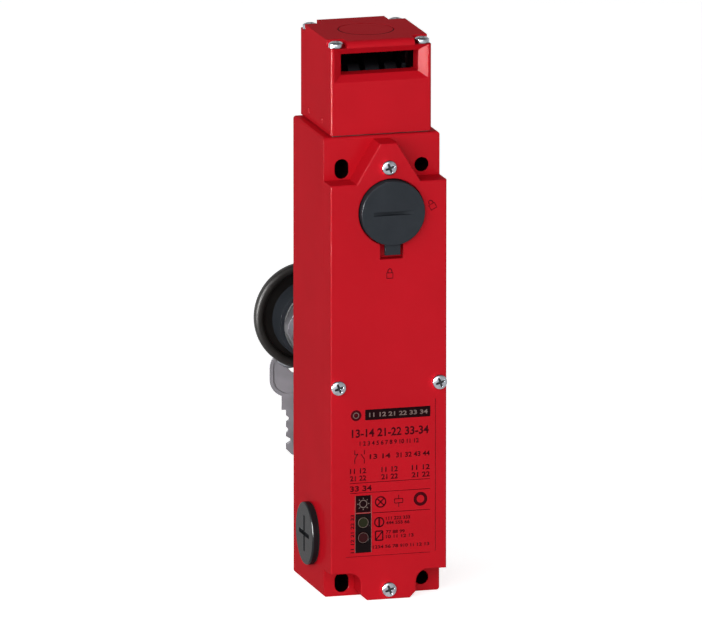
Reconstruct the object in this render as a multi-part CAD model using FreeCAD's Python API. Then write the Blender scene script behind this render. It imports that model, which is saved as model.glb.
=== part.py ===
"""Guard-locking tongue interlock switch with a turret head and a rear release button.

Millimetres. The origin is the centre of the fixing-hole pattern on the back face.
+X is to the right seen from the front, +Y points out of the back, +Z is up.
"""
import os
from math import cos, pi, radians, sin

import FreeCAD
import Part

V = FreeCAD.Vector

# ---- driving dimensions ---------------------------------------------------------------
# clearances
RUN = 0.06                    # radial running clearance
SLIDE = 0.3                   # clearance between parts that slide or seat loosely
SEAT = 0.05                   # radial clearance of a screwed or pressed piece in its hole
SHANK_GAP = 0.2               # radial clearance round a screw's plain shank

# case
CASE_W = 43.5
CASE_H = 170.0
CASE_EDGE_R = 1.0
SIDE_WALL = 3.2
BACK_WALL = 4.0
CAVITY_FLOOR = 13.5           # solid foot of the case, where the lower fixing holes pass
CAVITY_ROOF = 18.5            # solid top of the case, where the upper fixing holes pass
CAVITY_CORNER_R = 2.0
MOUTH_DEPTH = 1.6             # step at the cavity's mouth, which the cover gasket fills
GASKET_LAND = 1.0             # width of that step
POST_R = 3.0

# fixing holes through the case
FIX_PITCH_X = 30.0
FIX_FOOT = 5.0                # lower hole centres above the case's foot
FIX_TOP = 11.7                # upper hole centres below the case's top
FIX_BORE_R = 2.65
FIX_SLOT_L = 7.3

# front cover
COVER_T = 9.6
COVER_SHOULDER_LOW = 10.3     # above the case's foot
COVER_SHOULDER_TOP = 15.7     # below the case's top
COVER_NECK_W = 24.0
COVER_NOSE_W = 6.4
COVER_NOSE_DROP = 1.2         # below the case's top
COVER_TAB_W = 20.8
COVER_TAB_CUT = 2.4
COVER_INNER_R = 4.4
COVER_EDGE_R = 0.6
COVER_SKIN = 3.0              # thickness over the hollow behind the cover's face
COVER_RIM = 5.0               # width of the cover's solid rim
COVER_NOSE_SCREW = 10.0       # below the case's top
COVER_FOOT_SCREW = 3.8        # above the case's foot
COVER_SIDE_SCREW = 2.75       # from the case's side
COVER_SIDE_SCREW_Z = -2.0

# screws
M3_R = 1.5
M3_HEAD_R = 2.65
M3_HEAD_H = 1.6
M3_CROWN = 0.6                # fall of the pan head towards its rim
CROSS_REACH = 1.65            # half length of the driver's cross
CROSS_HALF_W = 0.3
CROSS_DEPTH = 1.04
COVER_SCREW_L = 18.0
SCREW_POINT_GAP = 1.0         # tapped depth beyond a screw's end
BOSS_WALL = 2.0
DRIVER_SLOT_W = 0.7
DRIVER_SLOT_DEPTH = 1.0

# turret head
HEAD_D = 41.0
HEAD_H = 34.3
HEAD_INSET = 2.9              # head's side inside the case's side
HEAD_STEP = 0.4               # head's face behind the case's front
HEAD_EDGE_R = 1.0
HEAD_BROW_R = 2.2
HEAD_GASKET_T = 0.5
HEAD_WALL = 2.6
NOTCH_SIZE = 6.2
NOTCH_DEPTH = 2.4
HEAD_SCREW_R = 1.25
HEAD_SCREW_INSET_X = 2.75
HEAD_SCREW_INSET_Y = 3.3
HEAD_SCREW_HEAD_R = 2.7
HEAD_SCREW_HEAD_H = 2.2
HEAD_SCREW_BITE = 6.5         # length in the case
HEAD_SCREW_POINT_GAP = 0.5
TOP_DISC_R = 10.2
TOP_DISC_LIP = 1.4
TOP_DISC_CHAMFER = 0.3
INDEX_R = 0.35                # two half-round index ridges on the head's left side
INDEX_Y = (-11.5, -29.5)
INDEX_UP = (2.5, 4.4)

# tongue slot
SLOT_MARGIN = 4.35            # from the head's side to the slot
SLOT_H = 7.7
SLOT_CENTRE = 26.2            # above the case's top
SLOT_BEVEL_SIDE = 3.1
SLOT_BEVEL_Z = 2.4
SLOT_BEVEL_DEPTH = 2.4
SLOT_DEPTH = 14.0

# cam drum and its carrier
CAM_AXIS = 17.6               # above the case's top
CAM_R = 9.5
CAM_HUB_R = 5.0
CAM_DISC_X = 6.9              # centre of each notched disc
CAM_DISC_T = 4.4
CAM_NOTCH_HALF_W = 2.2
DRIVE_CAM_T = 5.2
CAM_TURN = 60.0
CAM_AXLE_R = 2.0
CHAMBER_INSET = 0.8           # chamber's side inside the tongue slot's
CHAMBER_ROOM = 3.0            # between the drum and the chamber's front and back
CARRIER_T = 1.6
CARRIER_GAP = 0.1
CARRIER_FOOT_IN = 3.0         # cheek's foot from the carrier's front and back
CARRIER_TOP_HALF = 5.0
CARRIER_TOP_RISE = 3.0        # cheek's top above the axle

# drive slide
DRIVE_STROKE = 4.0
DRIVE_R = 3.0
DRIVE_NECK_STEP = 1.0         # neck's radius under the pin's
DRIVE_NECK_L = 3.0
DRIVE_CONE_L = 4.0
DRIVE_TIP_R = 1.0
CROSSHEAD_X = 6.0
CROSSHEAD_H = 4.0
PLATE_T = 2.0
PLATE_X = 8.0
PLATE_CORNER_R = 2.0
PLATE_GAP = 1.5               # between the slide's plate and the solenoid's frame
WINDOW_GAP = 1.0              # plate's window round the release rod
WINDOW_CORNER_R = 1.5
TUBE_BOSS_GAP = 3.5           # between the plate and the sleeve's boss

# contacts
CONTACT_TOP = -16.0           # from the release button's axis
CONTACT_ROOM = 7.4            # wiring room between the cover and the contact blocks
CONTACT_BACK = 2.5            # contact blocks' back behind the plate's back
CONTACT_FOOT_GAP = 0.65       # above the cable entries' bosses
CONTACT_SPLIT = 2.4           # half width of the gap for the comb
CHAMBER_END_X = 10.5
CHAMBER_BELOW = 2.6
CHAMBER_ABOVE = 2.0
CHAMBER_WALL_Y = 5.0
FIRST_SHARE = 0.185           # first bridge below the top, as a share of the contact blocks' height
BRIDGE_SHARE = 0.26           # bridge pitch, as a share of that height
BRIDGE_T = 0.6
BRIDGE_HALF_L = 9.0
BRIDGE_HALF_W = 3.0
BRIDGE_PLAY = 2.7
STRIP_INNER_X = 5.5
STRIP_HALF_W = 2.5
STRIP_LOW = 2.6               # below the bridge's middle
STRIP_T = 0.8
COMB_DROP = 0.8               # comb's foot below the blocks at the top of its stroke
COMB_HALF_W = 2.0
COMB_FRONT = 4.0              # comb's front behind the blocks' front
COMB_WALL = 6.0               # from the blocks' front and back to the comb's windows
BOSS_KEEP = 0.4
TERMINAL_IN = 5.55            # terminal screws from the hollow's side
TERMINAL_RISE = 0.7           # terminal screws above the bridges
TERMINAL_HEAD_R = 2.4
TERMINAL_HEAD_T = 3.0
TERMINAL_SINK = 1.0           # screw's top below the block's face
TERMINAL_SHANK_L = 4.5
BLOCK_SCREW_RISE = 2.6        # above the blocks' foot
BLOCK_SCREW_END = 2.0         # screw's end in front of the boss's root
DRIVE_SPRING_R = 3.4
DRIVE_SPRING_WIRE_R = 0.5
DRIVE_SPRING_TURNS = 7

# solenoid and lock
SOL_Z0 = 14.0                 # above the release button's axis
SOL_PLATE_T = 2.3
SOL_HALF_W = 10.0
SOL_EAR_H = 8.0
SOL_FRONT_GAP = 1.0           # frame's plates in front of the winding
COIL_AHEAD = 6.5              # coil's axis in front of the drive's
WINDING_R = 9.2
BOBBIN_T = 1.0
BOBBIN_FLANGE_T = 1.2
BOBBIN_LIP = 0.5
ARMATURE_R = 4.5
ARMATURE_GAP = 0.4            # round the armature in the frame's lower plate
ARMATURE_FLANGE_R = 6.5
ARMATURE_FLANGE_T = 1.2
ARMATURE_FOOT_R = 2.0
ARMATURE_FOOT_L = 1.6
ARMATURE_WAIST = 1.3          # waist's radius under the armature's
ARMATURE_CHAMFER = 1.0
ARMATURE_HOLE_L = 5.0
ARMATURE_SPRING_R = 5.4
ARMATURE_SPRING_WIRE_R = 0.45
ARMATURE_SPRING_TURNS = 5
CORE_GAP = 3.1
CORE_NECK_STEP = 1.0
LEVER_RISE = 7.5              # lever's pivot above the frame
NOSE_RISE = 6.25              # crosshead above the lever's pivot
EAR_SCREW_IN = 2.7
EAR_SCREW_UP = 4.0
FRAME_SCREW_L = 8.0
PUSH_ROD_R = 1.5
YOKE_T = 2.0
YOKE_HALF_W = 6.0
YOKE_FRONT = 6.0              # yoke's front and back in front of the rod's axis
YOKE_BACK = 2.6
CROSS_PIN_R = 1.0
CROSS_PIN_END = 0.4
LEVER_ARM = 10.0
LEVER_PIN_R = 1.2
LEVER_TUBE_R = 2.4
LEVER_X = 6.6
LEVER_CHEEK = (3.4, 5.0)
LEVER_NOSE_T = 1.9
LEVER_SLOT_GAP = 0.25
LEVER_SLOT_HALF_L = 0.8
CHEEK_GAP = 0.2
CHEEK_T = 1.6
CHEEK_FOOT = (-3.5, 6.0)
CHEEK_TOP_HALF = 3.0

# selector
SELECTOR_X = 1.0
SELECTOR_DROP = 26.5          # below the case's top
SELECTOR_CAP_R = 11.9
SELECTOR_PROUD = 2.8
SELECTOR_CAP_T = 5.6
SELECTOR_RECESS_GAP = 0.5
SELECTOR_EDGE_R = 0.5
SELECTOR_TAB_W = 5.6
SELECTOR_TAB_REACH = 3.6
SELECTOR_TAB_SINK = 1.0       # pointer's face behind the cap's
SELECTOR_NOTCH_W = 8.6
SELECTOR_NOTCH_REACH = 5.4
SELECTOR_NOTCH_DEPTH = 3.6
SELECTOR_SLOT_L = 15.0
SELECTOR_SLOT_W = 1.4
SELECTOR_SLOT_DEPTH = 2.0     # at its middle: the slot is milled by a disc
SELECTOR_SLOT_FLOOR = 1.0
SELECTOR_SHAFT_R = 3.5
SEAL_R = 0.8
SEAL_BACK = 1.5               # seal behind the cover's skin
CLIP_T = 0.8
CLIP_WALL = 2.2
CLIP_BITE = 0.75
CLIP_GROOVE = 0.8
CRANK_WEB_T = 2.0
CRANK_WEB_STEP = 1.0
CRANK_PIN_R = 1.5
CRANK_THROW = 2.6
CRANK_FRONT = 6.0             # crank's web and pin end in front of the coil's axis
CRANK_BACK = 2.0

# status lamps and their board
LAMP_X = -9.6
LAMP_LOW = 23.5               # lamp centres above the case's foot
LAMP_PITCH = 5.6
LAMP_R = 2.2
LAMP_DOME = 0.4
LAMP_SINK = 0.1               # lens behind the cover's face
LAMP_STRIP_W = 5.8
LAMP_STRIP_H = 14.4
LAMP_STRIP_T = 1.0
LAMP_STRIP_SHIFT = 0.3        # strip's middle above the lower lamp, as a share of the pitch
BOARD_T = 1.6
BOARD_LEFT = 4.9              # from the lamps to the board's edges
BOARD_RIGHT = 13.6
BOARD_LOW = 17.5              # board's edges above the case's foot
BOARD_HIGH = 33.0
LED_T = 1.2
LED_HALF_W = 1.4
BOARD_SCREW_X = 1.0
BOARD_SCREW_IN = 3.0
BOARD_SCREW_R = 1.0
BOARD_SCREW_L = 3.5
BOARD_SCREW_HEAD_R = 1.9
BOARD_SCREW_HEAD_H = 1.2
BOARD_POST_R = 2.3

# cable entries and earth screw
ENTRY_BACK = 16.4             # behind the case's front
ENTRY_UP = 20.2               # above the case's foot
ENTRY_R = 9.3
ENTRY_BOSS_WALL = 3.0
ENTRY_THREAD_L = 8.0
PLUG_HEAD_R = 11.5
PLUG_PROUD = 2.2
PLUG_EDGE_R = 0.6
PLUG_THREAD_L = 6.0
PLUG_WALL = 2.5
PLUG_CROSS_HALF_W = 0.8
PLUG_CROSS_DEPTH = 1.0
PLUG_CROSS_REACH = 6.6
PLUG_SEAL_T = 0.6
PLUG_SEAL_IN = 0.5
EARTH_X = 6.5
EARTH_UP = 5.0
EARTH_BOSS_L = 4.0
EARTH_HEAD_R = 3.0
EARTH_HEAD_H = 2.0
EARTH_CLAMP_T = 1.0
EARTH_CLAMP_HALF_W = 3.5

# rear release button
TUBE_R = 11.0
TUBE_END = 43.0
NUT_R = 13.3
NUT_T = 5.0
NUT_FLATS = 24.42             # across the flats
WASHER_T = 1.0
WASHER_IN = 0.4
BEZEL_R = 14.4
BEZEL_L = 12.0
BEZEL_BORE_R = 9.0
BEZEL_CHAMFER = 0.8
MUSHROOM_R = 20.0
MUSHROOM_GAP = 1.4            # between the collar and the mushroom
MUSHROOM_T = 7.1
MUSHROOM_GROOVE_R = 16.6
MUSHROOM_CROWN_R = 4.5
MUSHROOM_RIM_R = 1.5
BUTTON_STROKE = 5.0
STEM_GAP = 0.5
STEM_FLOOR_UP = 9.0           # stem's floor behind the sleeve's end
GUIDE_END = 6.0
SPRING_BORE_R = 8.0
ROD_R = 3.0
ROD_TIP_R = 0.6
ROD_TIP_L = 2.5
ROD_REACH = 2.5               # rod's tip behind the coil's axis
COLLAR_DROP = 17.0            # rod's collar in front of the sleeve's end
COLLAR_R = 6.6
COLLAR_T = 1.5
BUTTON_SPRING_R = 5.6
BUTTON_SPRING_WIRE_R = 0.5
BUTTON_SPRING_TURNS = 7

# lock and keys
BARREL_R = 7.0
BARREL_FLANGE_R = 9.5
BARREL_FLANGE_T = 1.2
BARREL_CHAMFER = 0.6
PLUG_R = 5.0
KEY_T = 2.4
KEY_BOW_W = 19.8
KEY_BOW_L = 17.0
KEY_BOW_R = 6.5
KEY_RIM_W = 1.4               # raised border of the bow
KEY_RIM_H = 0.35
KEY_NECK_W = 11.0
KEY_NECK_L = 4.9
KEY_BLADE_W = 7.8
KEY_BLADE_L = 16.9
KEY_NOSE = 2.2
KEY_CUTS = ((0.2, 1.0), (0.45, 0.7), (0.68, 1.6))     # share of the blade's length, depth
KEY_CUT_FLAT = 0.6
KEY_CUT_HALF_L = 2.2
KEY_INSERTED = 11.5
KEY_HOLE_R = 3.2
KEY_HOLE_IN = 5.2             # hole centre from the bow's end
RING_R = 12.0
RING_WIRE_R = 0.9
RING_TWIST = 37.0
SPARE_TWIST = 16.0
SPARE_X = 2.4

# ---- derived places and sizes ---------------------------------------------------------
CASE_D = HEAD_D + HEAD_STEP
HEAD_W = CASE_W - 2 * HEAD_INSET
SLOT_W = HEAD_W - 2 * SLOT_MARGIN
FIX_PITCH_Z = CASE_H - FIX_FOOT - FIX_TOP
HEAD_CENTRE_Y = -HEAD_D / 2
FOOT_Z = -FIX_PITCH_Z / 2 - FIX_FOOT
TOP_Z = FOOT_Z + CASE_H
LUG_Y = -CASE_D
FACE_Y = LUG_Y - COVER_T
HALF_W = CASE_W / 2
COVER_SIDE_SCREW_X = HALF_W - COVER_SIDE_SCREW
HEAD_Z = TOP_Z + HEAD_GASKET_T
HEAD_TOP_Z = HEAD_Z + HEAD_H
CAVITY_Z0 = FOOT_Z + CAVITY_FLOOR
CAVITY_Z1 = TOP_Z - CAVITY_ROOF
CAVITY_X = HALF_W - SIDE_WALL
CAM_Z = TOP_Z + CAM_AXIS
SLOT_Z = TOP_Z + SLOT_CENTRE
ENTRY_Y = LUG_Y + ENTRY_BACK
ENTRY_Z = FOOT_Z + ENTRY_UP
MOUTH_Y = LUG_Y + MOUTH_DEPTH
CHAMBER_X = SLOT_W / 2 - CHAMBER_INSET
CHAMBER_Y0 = HEAD_CENTRE_Y - CAM_R - CHAMBER_ROOM
CHAMBER_Y1 = HEAD_CENTRE_Y + CAM_R + CHAMBER_ROOM
CHAMBER_Z1 = HEAD_TOP_Z - HEAD_WALL
CARRIER_X = CHAMBER_X - CARRIER_GAP
CROSSHEAD_Y0 = HEAD_CENTRE_Y - DRIVE_R
CROSSHEAD_Z1 = CAVITY_Z1 - GASKET_LAND - 2 * SLIDE - DRIVE_STROKE
CROSSHEAD_Z0 = CROSSHEAD_Z1 - CROSSHEAD_H
SOL_Y = HEAD_CENTRE_Y - COIL_AHEAD
SOL_BACK_Y = SOL_Y + WINDING_R + BOBBIN_LIP + SOL_PLATE_T
PLATE_Y0 = SOL_BACK_Y + PLATE_GAP
PLATE_Y1 = PLATE_Y0 + PLATE_T
TUBE_BOSS_L = -PLATE_Y1 - TUBE_BOSS_GAP
CONTACT_Y0 = LUG_Y + CONTACT_ROOM
CONTACT_Y1 = PLATE_Y1 + CONTACT_BACK
CONTACT_MID_Y = (CONTACT_Y0 + CONTACT_Y1) / 2
CONTACT_LOW = ENTRY_Z + ENTRY_R + ENTRY_BOSS_WALL + CONTACT_FOOT_GAP
CONTACT_H = CONTACT_TOP - CONTACT_LOW
FIRST_BRIDGE = FIRST_SHARE * CONTACT_H
BRIDGE_PITCH = BRIDGE_SHARE * CONTACT_H
COMB_FOOT = CONTACT_LOW - DRIVE_STROKE - COMB_DROP
TERMINAL_X = CAVITY_X - TERMINAL_IN
BLOCK_SCREW_Z = CONTACT_LOW + BLOCK_SCREW_RISE
CROSS_PIN_Z = CROSSHEAD_Z0 - NOSE_RISE
SOL_Z1 = CROSS_PIN_Z - LEVER_RISE
ARMATURE_TOP = (SOL_Z0 + SOL_Z1) / 2
ARMATURE_FOOT = ROD_R + SLIDE
ARMATURE_SEAT = ARMATURE_FOOT + ARMATURE_FOOT_L + ARMATURE_FLANGE_T
EAR_X = CAVITY_X - GASKET_LAND - 2 * SLIDE
EAR_SCREW_X = EAR_X - EAR_SCREW_IN
LEVER_Y = SOL_Y - LEVER_ARM
CHEEK_X0 = LEVER_X + CHEEK_GAP
CHEEK_X1 = CHEEK_X0 + CHEEK_T
SELECTOR_Z = TOP_Z - SELECTOR_DROP
SELECTOR_FACE_Y = FACE_Y - SELECTOR_PROUD
SELECTOR_RECESS_DEPTH = SELECTOR_CAP_T - SELECTOR_PROUD + SLIDE
SELECTOR_SEAT_Y = SELECTOR_FACE_Y + SELECTOR_SLOT_DEPTH + SELECTOR_SLOT_FLOOR
SEAL_Y = FACE_Y + SELECTOR_RECESS_DEPTH + SEAL_BACK
CLIP_Y = FACE_Y + SELECTOR_RECESS_DEPTH + COVER_SKIN + CLIP_T
YOKE_Z = SELECTOR_Z + CRANK_PIN_R + SLIDE
CRANK_WEB_Y = SOL_Y - CRANK_FRONT
CRANK_END = SOL_Y - CRANK_BACK
BOARD_Y = LUG_Y - SLIDE - BOARD_T
BOARD_X = (LAMP_X - BOARD_LEFT, LAMP_X + BOARD_RIGHT)
BOARD_Z = (FOOT_Z + BOARD_LOW, FOOT_Z + BOARD_HIGH)
EARTH_Z = CAVITY_Z0 + GASKET_LAND + EARTH_UP
EARTH_SEAT_Y = -BACK_WALL - EARTH_BOSS_L
BOSS_ROOT_Y = -BACK_WALL / 2
BEZEL_END = TUBE_END + BEZEL_L
MUSHROOM_RIM = BEZEL_END + MUSHROOM_GAP
MUSHROOM_TOP = MUSHROOM_RIM + MUSHROOM_T
STEM_Y0 = TUBE_END + BUTTON_STROKE + STEM_GAP
STEM_FLOOR = TUBE_END + STEM_FLOOR_UP
COLLAR_Y = TUBE_END - COLLAR_DROP
ROD_END = SOL_Y + ROD_REACH
PLUG_FACE = MUSHROOM_TOP + BARREL_FLANGE_T
HOLE_Y = PLUG_FACE + SEAT + KEY_NECK_L + KEY_BOW_L - KEY_HOLE_IN
RING_X = SPARE_X / 2


# ---- helpers --------------------------------------------------------------------------
def block(x0, x1, y0, y1, z0, z1):
    return Part.makeBox(x1 - x0, y1 - y0, z1 - z0, V(x0, y0, z0))


def rod_x(r, x0, x1, y, z):
    return Part.makeCylinder(r, x1 - x0, V(x0, y, z), V(1, 0, 0))


def rod_y(r, y0, y1, x, z):
    return Part.makeCylinder(r, y1 - y0, V(x, y0, z), V(0, 1, 0))


def rod_z(r, z0, z1, x, y):
    return Part.makeCylinder(r, z1 - z0, V(x, y, z0), V(0, 0, 1))


def prism_y(outline, y0, y1):
    """Closed outline of (x, z) points, carried from y0 to y1."""
    points = [V(x, y0, z) for x, z in outline]
    face = Part.Face(Part.makePolygon(points + points[:1]))
    return face.extrude(V(0, y1 - y0, 0))


def prism_x(outline, x0, x1):
    """Closed outline of (y, z) points, carried from x0 to x1."""
    points = [V(x0, y, z) for y, z in outline]
    face = Part.Face(Part.makePolygon(points + points[:1]))
    return face.extrude(V(x1 - x0, 0, 0))


def turned_y(profile, x, z):
    """Closed profile of (radius, y) points, turned about the Y line through x, z."""
    points = [V(x + r, y, z) for r, y in profile]
    face = Part.Face(Part.makePolygon(points + points[:1]))
    return face.revolve(V(x, 0, z), V(0, 1, 0), 360)


def turned_z(profile, x, y):
    """Closed profile of (radius, z) points, turned about the Z line through x, y."""
    points = [V(x + r, y, z) for r, z in profile]
    face = Part.Face(Part.makePolygon(points + points[:1]))
    return face.revolve(V(x, y, 0), V(0, 0, 1), 360)


def is_line(edge, axis):
    """True for a straight edge along the given axis (0, 1 or 2)."""
    if edge.Curve.TypeId != "Part::GeomLine":
        return False
    return abs(abs(edge.Curve.Direction[axis]) - 1.0) < 1e-6


def rounded(shape, radius, chosen):
    return shape.makeFillet(radius, [e for e in shape.Edges if chosen(e)])


def union(shapes):
    return shapes[0].fuse(shapes[1:]).removeSplitter() if len(shapes) > 1 else shapes[0]


def cut(shape, tools):
    return shape.cut(Part.makeCompound(tools))


def save(name, shapes):
    """Write one node; several separate solids may share it."""
    shapes = shapes if isinstance(shapes, list) else [shapes]
    solids = [s for shape in shapes for s in shape.Solids]
    for solid in solids:
        if not solid.isValid():
            raise ValueError(name + " is not a valid solid")
    shape = solids[0] if len(solids) == 1 else Part.makeCompound(solids)
    shape.exportStep(os.path.join("parts", name + ".step"))


# ---- die-cast case --------------------------------------------------------------------
def fixing_holes(y0, y1):
    """Two upright slots in the left column and two round holes in the right one."""
    tools = []
    for side in (-1, 1):
        reach = (FIX_SLOT_L / 2 - FIX_BORE_R) if side < 0 else 0.0
        for row in (-1, 1):
            x = side * FIX_PITCH_X / 2
            z = row * FIX_PITCH_Z / 2
            tools.append(rod_y(FIX_BORE_R, y0, y1, x, z + reach))
            if reach:
                tools.append(rod_y(FIX_BORE_R, y0, y1, x, z - reach))
                tools.append(block(x - FIX_BORE_R, x + FIX_BORE_R, y0, y1, z - reach, z + reach))
    return tools


def cover_screw_places():
    """(x, z) of the four cover screws: nose, foot and the two sides."""
    return [
        (0.0, TOP_Z - COVER_NOSE_SCREW),
        (0.0, FOOT_Z + COVER_FOOT_SCREW),
        (-COVER_SIDE_SCREW_X, COVER_SIDE_SCREW_Z),
        (COVER_SIDE_SCREW_X, COVER_SIDE_SCREW_Z),
    ]


def head_screw_places():
    """(x, y) of the four turret screws."""
    x = HEAD_W / 2 - HEAD_SCREW_INSET_X
    return [(sx * x, y) for sx in (-1, 1) for y in (-HEAD_SCREW_INSET_Y, -HEAD_D + HEAD_SCREW_INSET_Y)]


def hollow(inset, y0, y1):
    """The case's hollow shrunk by inset: a block less the bosses of the side screws."""
    x = CAVITY_X - inset
    body = block(-x, x, y0, y1, CAVITY_Z0 + inset, CAVITY_Z1 - inset)
    body = rounded(body, CAVITY_CORNER_R, lambda e: is_line(e, 1))
    boss_r = M3_R + SEAT + BOSS_WALL + inset
    sides = cover_screw_places()[2:]
    return cut(body, [rod_y(boss_r, y0, y1, px, pz) for px, pz in sides])


def main_housing():
    body = block(-HALF_W, HALF_W, LUG_Y, 0, FOOT_Z, TOP_Z)

    def soft_edge(edge):
        if is_line(edge, 2):
            return edge.CenterOfMass.y > -1e-6
        return abs(edge.CenterOfMass.y - LUG_Y) > 1e-6 or edge.CenterOfMass.z > 0
    body = rounded(body, CASE_EDGE_R, soft_edge)
    inner = union([hollow(0, LUG_Y, MOUTH_Y), hollow(GASKET_LAND, MOUTH_Y, -BACK_WALL)])
    body = body.cut(inner)
    boss_r = ENTRY_R + ENTRY_BOSS_WALL
    root = BOSS_ROOT_Y
    bosses = [rod_y(TUBE_R + BACK_WALL, -TUBE_BOSS_L, root, 0, 0)]
    bosses.append(rod_x(boss_r, -HALF_W + SIDE_WALL / 2, -HALF_W + ENTRY_THREAD_L, ENTRY_Y, ENTRY_Z))
    bosses.append(rod_x(boss_r, HALF_W - ENTRY_THREAD_L, HALF_W - SIDE_WALL / 2, ENTRY_Y, ENTRY_Z))
    bosses += [rod_y(POST_R, SOL_BACK_Y, root, x, z) for x, z in post_places()]
    bosses += [rod_y(POST_R, CONTACT_Y1, root, x, z) for x, z in block_posts()]
    bosses.append(rod_y(POST_R + 1, EARTH_SEAT_Y, root, EARTH_X, EARTH_Z))
    body = union([body] + bosses)
    tools = fixing_holes(LUG_Y, 0)
    tools.append(rod_y(TUBE_R + SEAT, -TUBE_BOSS_L, 0, 0, 0))
    tools.append(rod_x(ENTRY_R, -HALF_W, -HALF_W + ENTRY_THREAD_L, ENTRY_Y, ENTRY_Z))
    tools.append(rod_x(ENTRY_R, HALF_W - ENTRY_THREAD_L, HALF_W, ENTRY_Y, ENTRY_Z))
    tools.append(rod_z(DRIVE_R + RUN, CAVITY_Z1 - GASKET_LAND, TOP_Z, 0, HEAD_CENTRE_Y))
    end_y = FACE_Y + COVER_SCREW_L + SCREW_POINT_GAP
    tools += [rod_y(M3_R + SEAT, LUG_Y, end_y, x, z) for x, z in cover_screw_places()]
    low = TOP_Z - HEAD_SCREW_BITE
    tools += [rod_z(HEAD_SCREW_R + SEAT, low, TOP_Z, x, y) for x, y in head_screw_places()]
    tapped = post_places() + block_posts() + [(EARTH_X, EARTH_Z)]
    tools += [rod_y(M3_R + SEAT, SOL_BACK_Y, root, x, z) for x, z in tapped]
    return cut(body, tools)


# ---- front cover ----------------------------------------------------------------------
def cover_outline():
    """Left half of the cover's outline from the nose down to the tab, as (x, z)."""
    shoulder = TOP_Z - COVER_SHOULDER_TOP
    low = FOOT_Z + COVER_SHOULDER_LOW
    tab = COVER_TAB_W / 2
    return [
        (-COVER_NOSE_W / 2, TOP_Z - COVER_NOSE_DROP),
        (-COVER_NECK_W / 2, shoulder),
        (-HALF_W, shoulder),
        (-HALF_W, low),
        (-tab, low),
        (-tab, FOOT_Z + COVER_TAB_CUT),
        (-tab + COVER_TAB_CUT, FOOT_Z),
    ]


def cover_blank(y0, y1):
    left = cover_outline()
    body = prism_y(left + [(-x, z) for x, z in reversed(left)], y0, y1)
    tab = COVER_TAB_W / 2
    low = FOOT_Z + COVER_SHOULDER_LOW

    def inner_corner(edge):
        place = edge.CenterOfMass
        return is_line(edge, 1) and abs(abs(place.x) - tab) < 1e-6 and abs(place.z - low) < 1e-6
    return rounded(body, COVER_INNER_R, inner_corner)


def cover_hollow():
    """Two rooms behind the cover's face, above and below the side screws."""
    y0 = FACE_Y + COVER_SKIN
    x = HALF_W - COVER_RIM
    mid = COVER_SIDE_SCREW_Z
    gap = M3_R + COVER_RIM
    low = FOOT_Z + COVER_SHOULDER_LOW + COVER_RIM
    high = TOP_Z - COVER_SHOULDER_TOP - COVER_RIM
    rooms = [block(-x, x, y0, LUG_Y, low, mid - gap), block(-x, x, y0, LUG_Y, mid + gap, high)]
    return [rounded(room, CAVITY_CORNER_R, lambda e: is_line(e, 1)) for room in rooms]


def front_cover():
    body = cover_blank(FACE_Y, LUG_Y)
    body = rounded(body, COVER_EDGE_R, lambda e: abs(e.CenterOfMass.y - FACE_Y) < 1e-6)
    body = cut(body, cover_hollow())
    hub_r = SELECTOR_CAP_R + SELECTOR_RECESS_GAP + COVER_SKIN
    hub_y = FACE_Y + SELECTOR_RECESS_DEPTH + COVER_SKIN
    hub = rod_y(hub_r, FACE_Y + COVER_SKIN / 2, hub_y, SELECTOR_X, SELECTOR_Z)
    notch_z = SELECTOR_Z - SELECTOR_CAP_R - SELECTOR_NOTCH_REACH
    notch_top = SELECTOR_Z - SELECTOR_CAP_R + 1.0
    pad_x = SELECTOR_NOTCH_W / 2 + COVER_SKIN
    pad_y = FACE_Y + SELECTOR_NOTCH_DEPTH + COVER_SKIN
    pad = block(SELECTOR_X - pad_x, SELECTOR_X + pad_x, FACE_Y + COVER_SKIN / 2, pad_y,
                notch_z - COVER_SKIN, notch_top)
    body = union([body, hub, pad] + board_posts())
    gap_r = SELECTOR_CAP_R + SELECTOR_RECESS_GAP
    tools = [rod_y(gap_r, FACE_Y, FACE_Y + SELECTOR_RECESS_DEPTH, SELECTOR_X, SELECTOR_Z)]
    tools.append(rod_y(SELECTOR_SHAFT_R + RUN, FACE_Y, LUG_Y, SELECTOR_X, SELECTOR_Z))
    half = SELECTOR_NOTCH_W / 2
    tools.append(block(SELECTOR_X - half, SELECTOR_X + half, FACE_Y, FACE_Y + SELECTOR_NOTCH_DEPTH,
                       notch_z, notch_top))
    tools += [rod_y(M3_R + SHANK_GAP, FACE_Y, LUG_Y, x, z) for x, z in cover_screw_places()]
    for z in lamp_heights():
        tools.append(rod_y(LAMP_R + SEAT, FACE_Y, FACE_Y + COVER_SKIN, LAMP_X, z))
    x0, x1, z0, z1 = lamp_strip_edges(SEAT)
    tools.append(block(x0, x1, FACE_Y, FACE_Y + LAMP_STRIP_T, z0, z1))
    tools += [rod_y(BOARD_SCREW_R + SEAT, FACE_Y + COVER_SKIN, LUG_Y, x, z) for x, z in board_screw_places()]
    return cut(body, tools)


def lamp_heights():
    return [FOOT_Z + LAMP_LOW + i * LAMP_PITCH for i in range(2)]


def lamp_strip_edges(gap):
    """x0, x1, z0, z1 of the lamp strip, grown by gap."""
    middle = FOOT_Z + LAMP_LOW + LAMP_STRIP_SHIFT * LAMP_PITCH
    half_w = LAMP_STRIP_W / 2 + gap
    half_h = LAMP_STRIP_H / 2 + gap
    return LAMP_X - half_w, LAMP_X + half_w, middle - half_h, middle + half_h


def lamp_strip():
    x0, x1, z0, z1 = lamp_strip_edges(0)
    body = block(x0, x1, FACE_Y, FACE_Y + LAMP_STRIP_T, z0, z1)
    return cut(body, [rod_y(LAMP_R + SEAT, FACE_Y, LUG_Y, LAMP_X, z) for z in lamp_heights()])


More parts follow.
